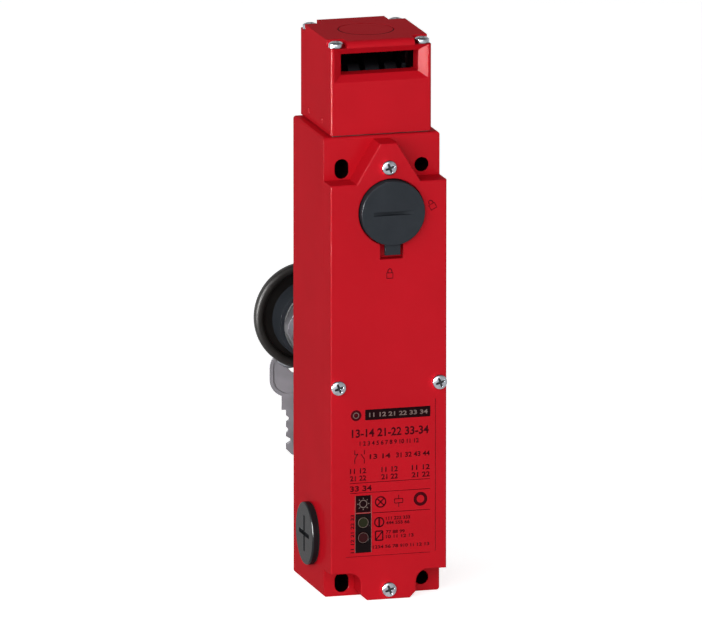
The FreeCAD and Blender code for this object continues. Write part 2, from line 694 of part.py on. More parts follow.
def lamp_lenses():
    """Two light pipes, domed at the front, reaching to the lamps on the board."""
    y0 = FACE_Y + LAMP_SINK
    y1 = BOARD_Y - LED_T
    dome = LAMP_DOME
    profile = [(0, y0), (LAMP_R - dome, y0), (LAMP_R, y0 + dome), (LAMP_R, y0 + COVER_SKIN + 1)]
    profile += [(LAMP_R - dome, y0 + COVER_SKIN + 1), (LAMP_R - dome, y1), (0, y1)]
    return [turned_y(profile, LAMP_X, z) for z in lamp_heights()]


def cover_gasket():
    y0 = LUG_Y
    ring = hollow(SEAT, y0, MOUTH_Y)
    return ring.cut(hollow(GASKET_LAND + SEAT, y0, MOUTH_Y))


def pan_screw(length):
    """Cross-recess pan-head screw, head's seat at y 0, shank along +y."""
    crown = M3_CROWN
    profile = [(0, -M3_HEAD_H), (M3_HEAD_R - crown, -M3_HEAD_H), (M3_HEAD_R, -M3_HEAD_H + crown)]
    profile += [(M3_HEAD_R, 0), (M3_R, 0), (M3_R, length), (0, length)]
    body = turned_y(profile, 0, 0)
    arm = CROSS_REACH
    half = CROSS_HALF_W
    deep = -M3_HEAD_H + CROSS_DEPTH
    level = block(-arm, arm, -M3_HEAD_H, deep, -half, half)
    upright = block(-half, half, -M3_HEAD_H, deep, -arm, arm)
    return cut(body, [level, upright])


def moved(shape, x, y, z):
    copy = shape.copy()
    copy.translate(V(x, y, z))
    return copy


def cover_screws():
    screw = pan_screw(COVER_SCREW_L)
    return [moved(screw, x, FACE_Y, z) for x, z in cover_screw_places()]


# ---- turret head ----------------------------------------------------------------------


def turret_head():
    half = HEAD_W / 2
    body = block(-half, half, -HEAD_D, 0, HEAD_Z, HEAD_TOP_Z)
    body = rounded(body, HEAD_EDGE_R, lambda e: is_line(e, 2))
    notch = NOTCH_SIZE
    tools = []
    for sx in (-1, 1):
        for y0, y1 in ((-HEAD_D - 1, -HEAD_D + notch), (-notch, 1)):
            x0, x1 = sorted((sx * (half + 1), sx * (half - notch)))
            tools.append(block(x0, x1, y0, y1, HEAD_TOP_Z - NOTCH_DEPTH, HEAD_TOP_Z + 1))
    body = cut(body, tools)

    def brow(edge):
        place = edge.CenterOfMass
        return is_line(edge, 0) and abs(place.y + HEAD_D) < 1e-6 and abs(place.z - HEAD_TOP_Z) < 1e-6
    body = rounded(body, HEAD_BROW_R, brow)
    low, high = (HEAD_Z + rise for rise in INDEX_UP)
    body = union([body] + [rod_z(INDEX_R, low, high, -half, y) for y in INDEX_Y])
    tools = [rod_z(HEAD_SCREW_R + SEAT, HEAD_Z, HEAD_TOP_Z, x, y) for x, y in head_screw_places()]
    tools.append(block(-CHAMBER_X, CHAMBER_X, CHAMBER_Y0, CHAMBER_Y1, HEAD_Z, CHAMBER_Z1))
    tools.append(tongue_pocket())
    disc_seat = HEAD_TOP_Z - TOP_DISC_LIP
    tools.append(rod_z(TOP_DISC_R + SEAT, disc_seat, HEAD_TOP_Z, 0, HEAD_CENTRE_Y))
    tools.append(rod_z(TOP_DISC_R - TOP_DISC_LIP, CHAMBER_Z1 - 1, HEAD_TOP_Z, 0, HEAD_CENTRE_Y))
    return cut(body, tools)


def tongue_pocket():
    """Straight slot with a bevelled mouth, wider at the face."""
    half = SLOT_W / 2
    high = SLOT_H / 2
    wide = half + SLOT_BEVEL_SIDE
    tall = high + SLOT_BEVEL_Z

    def frame_wire(x, z, y):
        corners = [V(-x, y, SLOT_Z - z), V(x, y, SLOT_Z - z), V(x, y, SLOT_Z + z), V(-x, y, SLOT_Z + z)]
        return Part.makePolygon(corners + corners[:1])
    mouth_y = -HEAD_D + SLOT_BEVEL_DEPTH
    funnel = Part.makeLoft([frame_wire(wide, tall, -HEAD_D), frame_wire(half, high, mouth_y)], True)
    slot = block(-half, half, mouth_y - 0.01, -HEAD_D + SLOT_BEVEL_DEPTH + SLOT_DEPTH,
                 SLOT_Z - high, SLOT_Z + high)
    return funnel.fuse(slot)


def head_top_disc():
    """Flush blanking disc in the turret's round top opening."""
    y = HEAD_CENTRE_Y
    seat = HEAD_TOP_Z - TOP_DISC_LIP
    soft = TOP_DISC_CHAMFER
    profile = [(0, seat), (TOP_DISC_R, seat), (TOP_DISC_R, HEAD_TOP_Z - soft)]
    profile += [(TOP_DISC_R - soft, HEAD_TOP_Z), (0, HEAD_TOP_Z)]
    rim = turned_z(profile, 0, y)
    spigot = rod_z(TOP_DISC_R - TOP_DISC_LIP - SEAT, CHAMBER_Z1, seat, 0, y)
    return union([rim, spigot])


def head_gasket():
    half = HEAD_W / 2 - HEAD_EDGE_R
    body = block(-half, half, -HEAD_D + HEAD_EDGE_R, -HEAD_EDGE_R, TOP_Z, HEAD_Z)
    tools = [rod_z(HEAD_SCREW_R + SEAT, TOP_Z, HEAD_Z, x, y) for x, y in head_screw_places()]
    tools.append(rod_z(DRIVE_R + SLIDE, TOP_Z, HEAD_Z, 0, HEAD_CENTRE_Y))
    return cut(body, tools)


def driver_slot_x(reach, x, y, top):
    """Screwdriver slot along x in a screw's top."""
    half = DRIVER_SLOT_W / 2
    return block(x - reach, x + reach, y - half, y + half, top - DRIVER_SLOT_DEPTH, top)


def driver_slot_y(reach, x, face, z):
    """Screwdriver slot along x in a screw's front."""
    half = DRIVER_SLOT_W / 2
    return block(x - reach, x + reach, face, face + DRIVER_SLOT_DEPTH, z - half, z + half)


def head_screws():
    """Slotted cheese-head screws whose tops are level with the turret's top."""
    seat = HEAD_TOP_Z - NOTCH_DEPTH
    tip = TOP_Z - HEAD_SCREW_BITE + HEAD_SCREW_POINT_GAP
    screws = []
    for x, y in head_screw_places():
        head = rod_z(HEAD_SCREW_HEAD_R, seat, seat + HEAD_SCREW_HEAD_H, x, y)
        shank = rod_z(HEAD_SCREW_R, tip, seat, x, y)
        top = seat + HEAD_SCREW_HEAD_H
        slot = driver_slot_x(HEAD_SCREW_HEAD_R, x, y, top)
        screws.append(union([head, shank]).cut(slot))
    return screws


# ---- cam drum and its carrier ---------------------------------------------------------


def cam_carrier():
    """U-shaped steel bracket in the turret that holds the drum's axle."""
    y0 = CHAMBER_Y0 + SLIDE
    y1 = CHAMBER_Y1 - SLIDE
    base = block(-CARRIER_X, CARRIER_X, y0, y1, HEAD_Z, HEAD_Z + CARRIER_T)
    shapes = [base]
    top = CAM_Z + CAM_AXLE_R + CARRIER_TOP_RISE
    for x in (-CARRIER_X, CARRIER_X - CARRIER_T):
        outline = [(y0 + CARRIER_FOOT_IN, HEAD_Z), (y1 - CARRIER_FOOT_IN, HEAD_Z)]
        outline += [(HEAD_CENTRE_Y + CARRIER_TOP_HALF, top), (HEAD_CENTRE_Y - CARRIER_TOP_HALF, top)]
        shapes.append(prism_x(outline, x, x + CARRIER_T))
    tools = [rod_x(CAM_AXLE_R + SEAT, -CARRIER_X, CARRIER_X, HEAD_CENTRE_Y, CAM_Z)]
    tools.append(rod_z(DRIVE_R + SLIDE, HEAD_Z, HEAD_Z + CARRIER_T, 0, HEAD_CENTRE_Y))
    return cut(union(shapes), tools)


def cam_axle():
    return rod_x(CAM_AXLE_R, -CARRIER_X, CARRIER_X, HEAD_CENTRE_Y, CAM_Z)


def cam_drum():
    """Drum turned by the tongue: two notched discs and the drive cam on one hub."""
    y = HEAD_CENTRE_Y
    hub_x = CARRIER_X - CARRIER_T - CARRIER_GAP
    shapes = [rod_x(CAM_HUB_R, -hub_x, hub_x, y, CAM_Z)]
    reach = CAM_R + 1
    for side in (-1, 1):
        x = side * CAM_DISC_X
        disc = rod_x(CAM_R, x - CAM_DISC_T / 2, x + CAM_DISC_T / 2, y, CAM_Z)
        notch = block(x - CAM_DISC_T, x + CAM_DISC_T, y - CAM_NOTCH_HALF_W, y + CAM_NOTCH_HALF_W,
                      CAM_Z + CAM_HUB_R, CAM_Z + reach)
        notch.rotate(V(0, y, CAM_Z), V(1, 0, 0), CAM_TURN * 0.6)
        shapes.append(disc.cut(notch))
    shapes.append(drive_cam(DRIVE_CAM_T / 2))
    drum = union(shapes)
    return drum.cut(rod_x(CAM_AXLE_R + RUN, -hub_x, hub_x, y, CAM_Z))


def drive_cam(half_t):
    """Plate whose radius falls evenly by the drive's stroke over the drum's turn."""
    steps = 12
    extra = 12.0
    points = []
    for i in range(steps + 1):
        angle = CAM_TURN * i / steps
        points.append((CAM_R - DRIVE_STROKE * i / steps, angle))
    points.append((CAM_R - DRIVE_STROKE, CAM_TURN + extra))
    rim = []
    for radius, angle in points:
        turn = radians(angle) - pi / 2
        rim.append(V(-half_t, HEAD_CENTRE_Y + radius * cos(turn), CAM_Z + radius * sin(turn)))
    spiral = Part.BSplineCurve()
    spiral.interpolate(rim[:steps + 1])
    land = Part.makeLine(rim[steps], rim[steps + 1])
    start = rim[0]
    top = V(-half_t, HEAD_CENTRE_Y, CAM_Z + CAM_R)
    front = V(-half_t, HEAD_CENTRE_Y - CAM_R, CAM_Z)
    arc = Part.Arc(top, front, start).toShape()
    close = Part.makeLine(rim[steps + 1], top)
    wire = Part.Wire([spiral.toShape(), land, close, arc])
    return Part.Face(wire).extrude(V(2 * half_t, 0, 0))


# ---- drive slide and contacts ---------------------------------------------------------


def drive_pin():
    """Round pin that follows the cam, with a coned tip and a ball end."""
    top = CAM_Z - CAM_R - SLIDE
    neck = DRIVE_R - DRIVE_NECK_STEP
    low = CROSSHEAD_Z1 - DRIVE_NECK_L
    profile = [(0, low), (neck, low), (neck, CROSSHEAD_Z1), (DRIVE_R, CROSSHEAD_Z1)]
    profile += [(DRIVE_R, top - DRIVE_CONE_L), (DRIVE_TIP_R, top - DRIVE_TIP_R / 2), (0, top)]
    return turned_z(profile, 0, HEAD_CENTRE_Y)


def drive_slide():
    """Stepped steel slide: crosshead under the pin, long plate behind the solenoid."""
    y_back = PLATE_Y1
    head = block(-CROSSHEAD_X, CROSSHEAD_X, CROSSHEAD_Y0, y_back, CROSSHEAD_Z0, CROSSHEAD_Z1)
    plate = block(-PLATE_X, PLATE_X, PLATE_Y0, y_back, CONTACT_TOP, CROSSHEAD_Z1)
    plate = rounded(plate, PLATE_CORNER_R, lambda e: is_line(e, 1))
    window_half = ROD_R + WINDOW_GAP
    window = block(-window_half, window_half, PLATE_Y0, y_back,
                   -window_half - DRIVE_STROKE, window_half + DRIVE_STROKE)
    window = rounded(window, WINDOW_CORNER_R, lambda e: is_line(e, 1))
    hole_r = DRIVE_R - DRIVE_NECK_STEP + SEAT
    hole = rod_z(hole_r, CROSSHEAD_Z1 - DRIVE_NECK_L, CROSSHEAD_Z1, 0, HEAD_CENTRE_Y)
    return cut(union([head, plate]), [window, hole])


def bridge_levels():
    return [CONTACT_TOP - FIRST_BRIDGE - i * BRIDGE_PITCH for i in range(3)]


def contact_carrier():
    """Moulded comb between the two contact blocks, hung from the slide's lower end."""
    half = COMB_HALF_W
    stem = block(-half, half, CONTACT_Y0 + COMB_FRONT, CONTACT_Y1, COMB_FOOT, CONTACT_TOP)
    y0 = CONTACT_Y0 + COMB_WALL
    y1 = CONTACT_Y1 - COMB_WALL
    cuts = [block(-half, half, y0, y1, z - BRIDGE_T / 2, z + BRIDGE_PLAY) for z in bridge_levels()]
    return cut(stem, cuts)


def contact_bridges():
    """Moving bridges, one per pole, through the comb's windows."""
    half = BRIDGE_HALF_L
    y0 = CONTACT_MID_Y - BRIDGE_HALF_W
    y1 = CONTACT_MID_Y + BRIDGE_HALF_W
    return [block(-half, half, y0, y1, z - BRIDGE_T / 2, z + BRIDGE_T / 2) for z in bridge_levels()]


def contact_blocks():
    """Left and right moulded blocks with open chambers for the bridges."""
    blocks = []
    y0 = CONTACT_Y0 + CHAMBER_WALL_Y
    y1 = CONTACT_Y1 - CHAMBER_WALL_Y
    seat_y = CONTACT_Y0 + TERMINAL_SINK + TERMINAL_HEAD_T
    end_y = seat_y + TERMINAL_SHANK_L + HEAD_SCREW_POINT_GAP
    for side in (-1, 1):
        x0, x1 = sorted((side * CONTACT_SPLIT, side * (CAVITY_X - GASKET_LAND - SLIDE - BOSS_KEEP)))
        body = block(x0, x1, CONTACT_Y0, CONTACT_Y1, CONTACT_LOW, CONTACT_TOP)
        r0, r1 = sorted((side * CONTACT_SPLIT, side * CHAMBER_END_X))
        rooms = [block(r0, r1, y0, y1, z - CHAMBER_BELOW, z + DRIVE_STROKE + CHAMBER_ABOVE)
                 for z in bridge_levels()]
        for z in terminal_levels():
            rooms.append(rod_y(TERMINAL_HEAD_R + SHANK_GAP, CONTACT_Y0, seat_y, side * TERMINAL_X, z))
            rooms.append(rod_y(M3_R + SEAT, CONTACT_Y0, end_y, side * TERMINAL_X, z))
        rooms += [rod_y(M3_R + SEAT, CONTACT_Y0, CONTACT_Y1, x, z) for x, z in block_posts()]
        blocks.append(cut(body, rooms))
    return blocks


def terminal_levels():
    return [z + TERMINAL_RISE for z in bridge_levels()]


def fixed_contacts():
    """Bent strips from each terminal into the bridge chambers."""
    strips = []
    y0 = CONTACT_MID_Y - STRIP_HALF_W
    y1 = CONTACT_MID_Y + STRIP_HALF_W
    for side in (-1, 1):
        for z in bridge_levels():
            x0, x1 = sorted((side * STRIP_INNER_X, side * CHAMBER_END_X))
            strips.append(block(x0, x1, y0, y1, z - STRIP_LOW, z - STRIP_LOW + STRIP_T))
    return strips


def terminal_screws():
    screws = []
    face = CONTACT_Y0 + TERMINAL_SINK
    seat_y = face + TERMINAL_HEAD_T
    for side in (-1, 1):
        for z in terminal_levels():
            x = side * TERMINAL_X
            head = rod_y(TERMINAL_HEAD_R, face, seat_y, x, z)
            shank = rod_y(M3_R, seat_y, seat_y + TERMINAL_SHANK_L, x, z)
            screws.append(union([head, shank]).cut(driver_slot_y(TERMINAL_HEAD_R, x, face, z)))
    return screws


# ---- solenoid and lock ----------------------------------------------------------------


def post_places():
    """(x, z) of the solenoid's four posts on the case's back wall."""
    return [(sx * EAR_SCREW_X, z) for sx in (-1, 1) for z in (SOL_Z0 + EAR_SCREW_UP, SOL_Z1 - EAR_SCREW_UP)]


def block_posts():
    """(x, z) of the posts that the contact blocks are screwed to."""
    return [(sx * EAR_SCREW_X, BLOCK_SCREW_Z) for sx in (-1, 1)]


def solenoid_frame():
    """Steel strip bent round the coil, with ears for its screws and the lever's cheeks."""
    w = SOL_HALF_W
    back = block(-w, w, SOL_BACK_Y - SOL_PLATE_T, SOL_BACK_Y, SOL_Z0, SOL_Z1)
    shapes = [back]
    for z0 in (SOL_Z0, SOL_Z1 - SOL_EAR_H):
        shapes.append(block(-EAR_X, EAR_X, SOL_BACK_Y - SOL_PLATE_T, SOL_BACK_Y, z0, z0 + SOL_EAR_H))
    front = SOL_Y - WINDING_R - SOL_FRONT_GAP
    for z0 in (SOL_Z0, SOL_Z1 - SOL_PLATE_T):
        shapes.append(block(-w, w, front, SOL_BACK_Y, z0, z0 + SOL_PLATE_T))
    cheek_top = CROSS_PIN_Z + LEVER_TUBE_R
    for sx in (-1, 1):
        x0, x1 = sorted((sx * CHEEK_X0, sx * CHEEK_X1))
        low = SOL_Z1 - SOL_PLATE_T
        outline = [(LEVER_Y + CHEEK_FOOT[0], low), (LEVER_Y + CHEEK_FOOT[1], low)]
        outline += [(LEVER_Y + CHEEK_TOP_HALF, cheek_top), (LEVER_Y - CHEEK_TOP_HALF, cheek_top)]
        shapes.append(prism_x(outline, x0, x1))
    plate_y = SOL_BACK_Y - SOL_PLATE_T
    tools = [rod_y(M3_R + SHANK_GAP, plate_y, SOL_BACK_Y, x, z) for x, z in post_places()]
    tools.append(rod_z(ARMATURE_R + ARMATURE_GAP, SOL_Z0, SOL_Z0 + SOL_PLATE_T, 0, SOL_Y))
    tools.append(rod_z(ARMATURE_R - CORE_NECK_STEP, SOL_Z1 - SOL_PLATE_T, SOL_Z1, 0, SOL_Y))
    tools.append(rod_x(LEVER_PIN_R + SEAT, -SOL_HALF_W, SOL_HALF_W, LEVER_Y, CROSS_PIN_Z))
    return cut(union(shapes), tools)


def bobbin():
    z0 = SOL_Z0 + SOL_PLATE_T + SEAT
    z1 = SOL_Z1 - SOL_PLATE_T - SEAT
    bore = ARMATURE_R + RUN
    core = bore + BOBBIN_T
    flange = WINDING_R + BOBBIN_LIP
    low = z0 + BOBBIN_FLANGE_T
    high = z1 - BOBBIN_FLANGE_T
    profile = [(bore, z0), (flange, z0), (flange, low), (core, low), (core, high)]
    profile += [(flange, high), (flange, z1), (bore, z1)]
    return turned_z(profile, 0, SOL_Y)


def coil_winding():
    end = SOL_PLATE_T + BOBBIN_FLANGE_T + 2 * SEAT
    z0 = SOL_Z0 + end
    z1 = SOL_Z1 - end
    inner = ARMATURE_R + RUN + BOBBIN_T + SEAT
    return turned_z([(inner, z0), (WINDING_R, z0), (WINDING_R, z1), (inner, z1)], 0, SOL_Y)


def solenoid_core():
    """Fixed pole riveted in the frame's upper plate, bored for the push rod."""
    low = ARMATURE_TOP + CORE_GAP
    neck = ARMATURE_R - CORE_NECK_STEP - SEAT
    shoulder = SOL_Z1 - SOL_PLATE_T
    bore = PUSH_ROD_R + RUN
    profile = [(bore, low), (ARMATURE_R, low), (ARMATURE_R, shoulder), (neck, shoulder)]
    profile += [(neck, SOL_Z1), (bore, SOL_Z1)]
    return turned_z(profile, 0, SOL_Y)


def armature():
    """Moving iron: a cylinder in the bobbin, a waist, a spring flange and a foot."""
    waist = ARMATURE_R - ARMATURE_WAIST
    foot = ARMATURE_FOOT_R
    flange_z = ARMATURE_SEAT - ARMATURE_FLANGE_T
    hole = PUSH_ROD_R + SEAT
    hole_z = ARMATURE_TOP - ARMATURE_HOLE_L
    waist_z = SOL_Z0 + ARMATURE_CHAMFER
    profile = [(0, ARMATURE_FOOT), (foot, ARMATURE_FOOT), (foot, flange_z)]
    profile += [(ARMATURE_FLANGE_R, flange_z), (ARMATURE_FLANGE_R, ARMATURE_SEAT), (waist, ARMATURE_SEAT)]
    profile += [(waist, waist_z), (ARMATURE_R, waist_z + ARMATURE_CHAMFER), (ARMATURE_R, ARMATURE_TOP)]
    profile += [(hole, ARMATURE_TOP), (hole, hole_z), (0, hole_z)]
    return turned_z(profile, 0, SOL_Y)


def push_rod():
    """Rod from the armature up through the core to the selector's yoke."""
    top = YOKE_Z + YOKE_T
    body = rod_z(PUSH_ROD_R, ARMATURE_TOP - ARMATURE_HOLE_L, top, 0, SOL_Y)
    yoke = block(-YOKE_HALF_W, YOKE_HALF_W, SOL_Y - YOKE_FRONT, SOL_Y - YOKE_BACK, YOKE_Z, top)
    neck = block(-PUSH_ROD_R, PUSH_ROD_R, SOL_Y - YOKE_FRONT, SOL_Y, YOKE_Z, top)
    hole = rod_x(CROSS_PIN_R + SEAT, -PUSH_ROD_R, PUSH_ROD_R, SOL_Y, CROSS_PIN_Z)
    return union([body, yoke, neck]).cut(hole)


def cross_pin():
    x = LEVER_CHEEK[1] + CROSS_PIN_END
    return rod_x(CROSS_PIN_R, -x, x, SOL_Y, CROSS_PIN_Z)


def lock_lever():
    """Forked lever: a tube on the pivot pin and two cheeks whose noses lock the crosshead."""
    nose_y1 = CROSSHEAD_Y0 - SLIDE
    nose_y0 = nose_y1 - LEVER_NOSE_T
    nose_z = CROSSHEAD_Z0 + DRIVE_STROKE - SLIDE
    low = CROSS_PIN_Z - LEVER_TUBE_R
    high = CROSS_PIN_Z + LEVER_TUBE_R
    outline = [(LEVER_Y, low), (nose_y1, low), (nose_y1, nose_z), (nose_y0, nose_z),
               (nose_y0, high + 1.5), (nose_y0 - 1.5, high), (LEVER_Y, high)]
    shapes = [rod_x(LEVER_TUBE_R, -LEVER_X, LEVER_X, LEVER_Y, CROSS_PIN_Z)]
    for sx in (-1, 1):
        x0, x1 = sorted((sx * LEVER_CHEEK[0], sx * LEVER_CHEEK[1]))
        shapes.append(prism_x(outline, x0, x1))
    body = union(shapes)
    slot_r = CROSS_PIN_R + LEVER_SLOT_GAP
    slot_y0 = SOL_Y - LEVER_SLOT_HALF_L
    slot_y1 = SOL_Y + LEVER_SLOT_HALF_L
    tools = [rod_x(LEVER_PIN_R + RUN, -LEVER_X, LEVER_X, LEVER_Y, CROSS_PIN_Z)]
    tools += [rod_x(slot_r, -LEVER_X, LEVER_X, y, CROSS_PIN_Z) for y in (slot_y0, slot_y1)]
    tools.append(block(-LEVER_X, LEVER_X, slot_y0, slot_y1, CROSS_PIN_Z - slot_r, CROSS_PIN_Z + slot_r))
    return cut(body, tools)


def lever_pin():
    return rod_x(LEVER_PIN_R, -CHEEK_X1, CHEEK_X1, LEVER_Y, CROSS_PIN_Z)


def wire_section(mean_r, wire_r, sides=8):
    """Section of the spring wire: eight flats, two of them on the seats."""
    reach = wire_r / cos(pi / sides)
    angles = [2 * pi * (k + 0.5) / sides for k in range(sides)]
    corners = [V(mean_r + reach * cos(a), 0, reach * sin(a)) for a in angles]
    return Part.makePolygon(corners + corners[:1])


def coil_spring(mean_r, wire_r, start, length, turns):
    """Helical spring along +z from start, with its wire's ends on the two seats."""
    height = length - 2 * wire_r
    helix = Part.makeHelix(height / turns, height, mean_r)
    spring = Part.Wire(helix.Edges).makePipeShell([wire_section(mean_r, wire_r)], True, True)
    spring.translate(start + V(0, 0, wire_r))
    return spring


def armature_spring():
    start = V(0, SOL_Y, ARMATURE_SEAT)
    length = SOL_Z0 - ARMATURE_SEAT
    return coil_spring(ARMATURE_SPRING_R, ARMATURE_SPRING_WIRE_R, start, length, ARMATURE_SPRING_TURNS)


def drive_spring():
    """Return spring under the contact comb, on the post cast in the case's foot."""
    start = V(0, CONTACT_MID_Y, CAVITY_Z0 + GASKET_LAND)
    length = COMB_FOOT - start.z
    return coil_spring(DRIVE_SPRING_R, DRIVE_SPRING_WIRE_R, start, length, DRIVE_SPRING_TURNS)


def frame_screws():
    screw = pan_screw(FRAME_SCREW_L)
    return [moved(screw, x, SOL_BACK_Y - SOL_PLATE_T, z) for x, z in post_places()]


def block_screws():
    screw = pan_screw(BOSS_ROOT_Y - BLOCK_SCREW_END - CONTACT_Y0)
    return [moved(screw, x, CONTACT_Y0, z) for x, z in block_posts()]


# ---- selector -------------------------------------------------------------------------


def selector_cap():
    """Round slotted cap with a pointer tab that passes over the cover's face."""
    y0 = SELECTOR_FACE_Y
    body = rod_y(SELECTOR_CAP_R, y0, y0 + SELECTOR_CAP_T, SELECTOR_X, SELECTOR_Z)
    body = rounded(body, SELECTOR_EDGE_R, lambda e: abs(e.CenterOfMass.y - y0) < 1e-6)
    half = SELECTOR_TAB_W / 2
    low = SELECTOR_Z - SELECTOR_CAP_R - SELECTOR_TAB_REACH
    tab = block(SELECTOR_X - half, SELECTOR_X + half, y0 + SELECTOR_TAB_SINK, FACE_Y - SLIDE,
                low, SELECTOR_Z - SELECTOR_CAP_R + half)
    body = union([body, tab])
    hollow_r = SELECTOR_SHAFT_R + SEAT
    slot_x = SELECTOR_SLOT_L / 2
    mill_r = (slot_x ** 2 + SELECTOR_SLOT_DEPTH ** 2) / (2 * SELECTOR_SLOT_DEPTH)
    slot_z = SELECTOR_Z - SELECTOR_SLOT_W / 2
    slot = rod_z(mill_r, slot_z, slot_z + SELECTOR_SLOT_W, SELECTOR_X, y0 + SELECTOR_SLOT_DEPTH - mill_r)
    seat = rod_y(hollow_r, SELECTOR_SEAT_Y, y0 + SELECTOR_CAP_T, SELECTOR_X, SELECTOR_Z)
    return cut(body, [slot, seat])


def selector_shaft():
    """Shaft through the cover with a ring groove, a clip groove and a crank pin."""
    y1 = CRANK_WEB_Y
    y0 = y1 - CRANK_WEB_T
    body = rod_y(SELECTOR_SHAFT_R, SELECTOR_SEAT_Y, y1, SELECTOR_X, SELECTOR_Z)
    web = rod_y(SELECTOR_SHAFT_R + CRANK_WEB_STEP, y0, y1, SELECTOR_X, SELECTOR_Z)
    crank = rod_y(CRANK_PIN_R, y0, CRANK_END, SELECTOR_X, SELECTOR_Z - CRANK_THROW)
    body = union([body, web, crank])
    grooves = []
    clip_w = CLIP_T + SHANK_GAP
    for middle, depth, width in ((SEAL_Y, SEAL_R * 1.4, SEAL_R * 2), (CLIP_Y, CLIP_GROOVE, clip_w)):
        ring = rod_y(SELECTOR_SHAFT_R + 1, middle - width / 2, middle + width / 2, SELECTOR_X, SELECTOR_Z)
        core = rod_y(SELECTOR_SHAFT_R - depth, middle - width, middle + width, SELECTOR_X, SELECTOR_Z)
        grooves.append(ring.cut(core))
    return cut(body, grooves)


def selector_seal():
    ring_r = SELECTOR_SHAFT_R - SEAL_R * 0.4 + 0.02
    return Part.makeTorus(ring_r, SEAL_R * 0.35, V(SELECTOR_X, SEAL_Y, SELECTOR_Z), V(0, 1, 0))


def selector_clip():
    """Open retaining ring in the shaft's groove behind the cover's hub."""
    y0 = CLIP_Y - CLIP_T / 2
    y1 = CLIP_Y + CLIP_T / 2
    outer_r = SELECTOR_SHAFT_R + CLIP_WALL
    outer = rod_y(outer_r, y0, y1, SELECTOR_X, SELECTOR_Z)
    inner = rod_y(SELECTOR_SHAFT_R - CLIP_BITE, y0, y1, SELECTOR_X, SELECTOR_Z)
    mouth = block(SELECTOR_X - CLIP_WALL, SELECTOR_X + CLIP_WALL, y0, y1, SELECTOR_Z, SELECTOR_Z + outer_r)
    return cut(outer, [inner, mouth])


# ---- status lamps' board --------------------------------------------------------------


def board_screw_places():
    return [(BOARD_SCREW_X, z) for z in (BOARD_Z[0] + BOARD_SCREW_IN, BOARD_Z[1] - BOARD_SCREW_IN)]


def board_posts():
    """Posts on the cover's inner face that carry the lamp board."""
    y0 = FACE_Y + COVER_SKIN / 2
    return [rod_y(BOARD_POST_R, y0, BOARD_Y, x, z) for x, z in board_screw_places()]


def lamp_board():
    body = block(BOARD_X[0], BOARD_X[1], BOARD_Y, BOARD_Y + BOARD_T, BOARD_Z[0], BOARD_Z[1])
    return cut(body, [rod_y(BOARD_SCREW_R + SEAT, BOARD_Y, LUG_Y, x, z) for x, z in board_screw_places()])


def lamps():
    half = LED_HALF_W
    return [block(LAMP_X - half, LAMP_X + half, BOARD_Y - LED_T, BOARD_Y, z - half, z + half)
            for z in lamp_heights()]


def board_screws():
    screws = []
    back = BOARD_Y + BOARD_T
    top = back + BOARD_SCREW_HEAD_H
    half = DRIVER_SLOT_W / 2
    for x, z in board_screw_places():
        head = rod_y(BOARD_SCREW_HEAD_R, back, top, x, z)
        shank = rod_y(BOARD_SCREW_R, top - BOARD_SCREW_L - BOARD_T, top, x, z)
        slot = block(x - BOARD_SCREW_HEAD_R, x + BOARD_SCREW_HEAD_R, top - BOARD_SCREW_HEAD_H / 2, top,
                     z - half, z + half)
        screws.append(union([head, shank]).cut(slot))
    return screws


# ---- cable entry plug and earth screw -------------------------------------------------
def cable_plug():
    """Screwed blanking plug in the left cable entry, with a cross for the driver."""
    face = -HALF_W - PLUG_SEAL_T
    front = face - PLUG_PROUD
    end = -HALF_W + PLUG_THREAD_L
    body = rod_x(PLUG_HEAD_R, front, face, ENTRY_Y, ENTRY_Z)
    body = rounded(body, PLUG_EDGE_R, lambda e: abs(e.CenterOfMass.x - front) < 1e-6)
    shank = rod_x(ENTRY_R - SEAT, face, end, ENTRY_Y, ENTRY_Z)
    hollow_end = rod_x(ENTRY_R - PLUG_WALL, -HALF_W, end, ENTRY_Y, ENTRY_Z)
    half = PLUG_CROSS_HALF_W
    arm = PLUG_CROSS_REACH
    deep = front + PLUG_CROSS_DEPTH
    upright = block(front, deep, ENTRY_Y - half, ENTRY_Y + half, ENTRY_Z - arm, ENTRY_Z + arm)
    level = block(front, deep, ENTRY_Y - arm, ENTRY_Y + arm, ENTRY_Z - half, ENTRY_Z + half)
    return cut(union([body, shank]), [hollow_end, upright, level])


def cable_plug_seal():
    x0 = -HALF_W - PLUG_SEAL_T
    ring = rod_x(PLUG_HEAD_R - PLUG_SEAL_IN, x0, -HALF_W, ENTRY_Y, ENTRY_Z)
    return ring.cut(rod_x(ENTRY_R + SEAT, x0, -HALF_W, ENTRY_Y, ENTRY_Z))


def earth_screw():
    head_y = EARTH_SEAT_Y - EARTH_CLAMP_T
    face = head_y - EARTH_HEAD_H
    head = rod_y(EARTH_HEAD_R, face, head_y, EARTH_X, EARTH_Z)
    shank = rod_y(M3_R, head_y, BOSS_ROOT_Y - HEAD_SCREW_POINT_GAP, EARTH_X, EARTH_Z)
    return union([head, shank]).cut(driver_slot_y(EARTH_HEAD_R, EARTH_X, face, EARTH_Z))


def earth_clamp():
    """Square cupped washer under the earth screw's head."""
    y0 = EARTH_SEAT_Y - EARTH_CLAMP_T
    half = EARTH_CLAMP_HALF_W
    body = block(EARTH_X - half, EARTH_X + half, y0, EARTH_SEAT_Y, EARTH_Z - half, EARTH_Z + half)
    return body.cut(rod_y(M3_R + SEAT, y0, EARTH_SEAT_Y, EARTH_X, EARTH_Z))


# ---- rear release button --------------------------------------------------------------


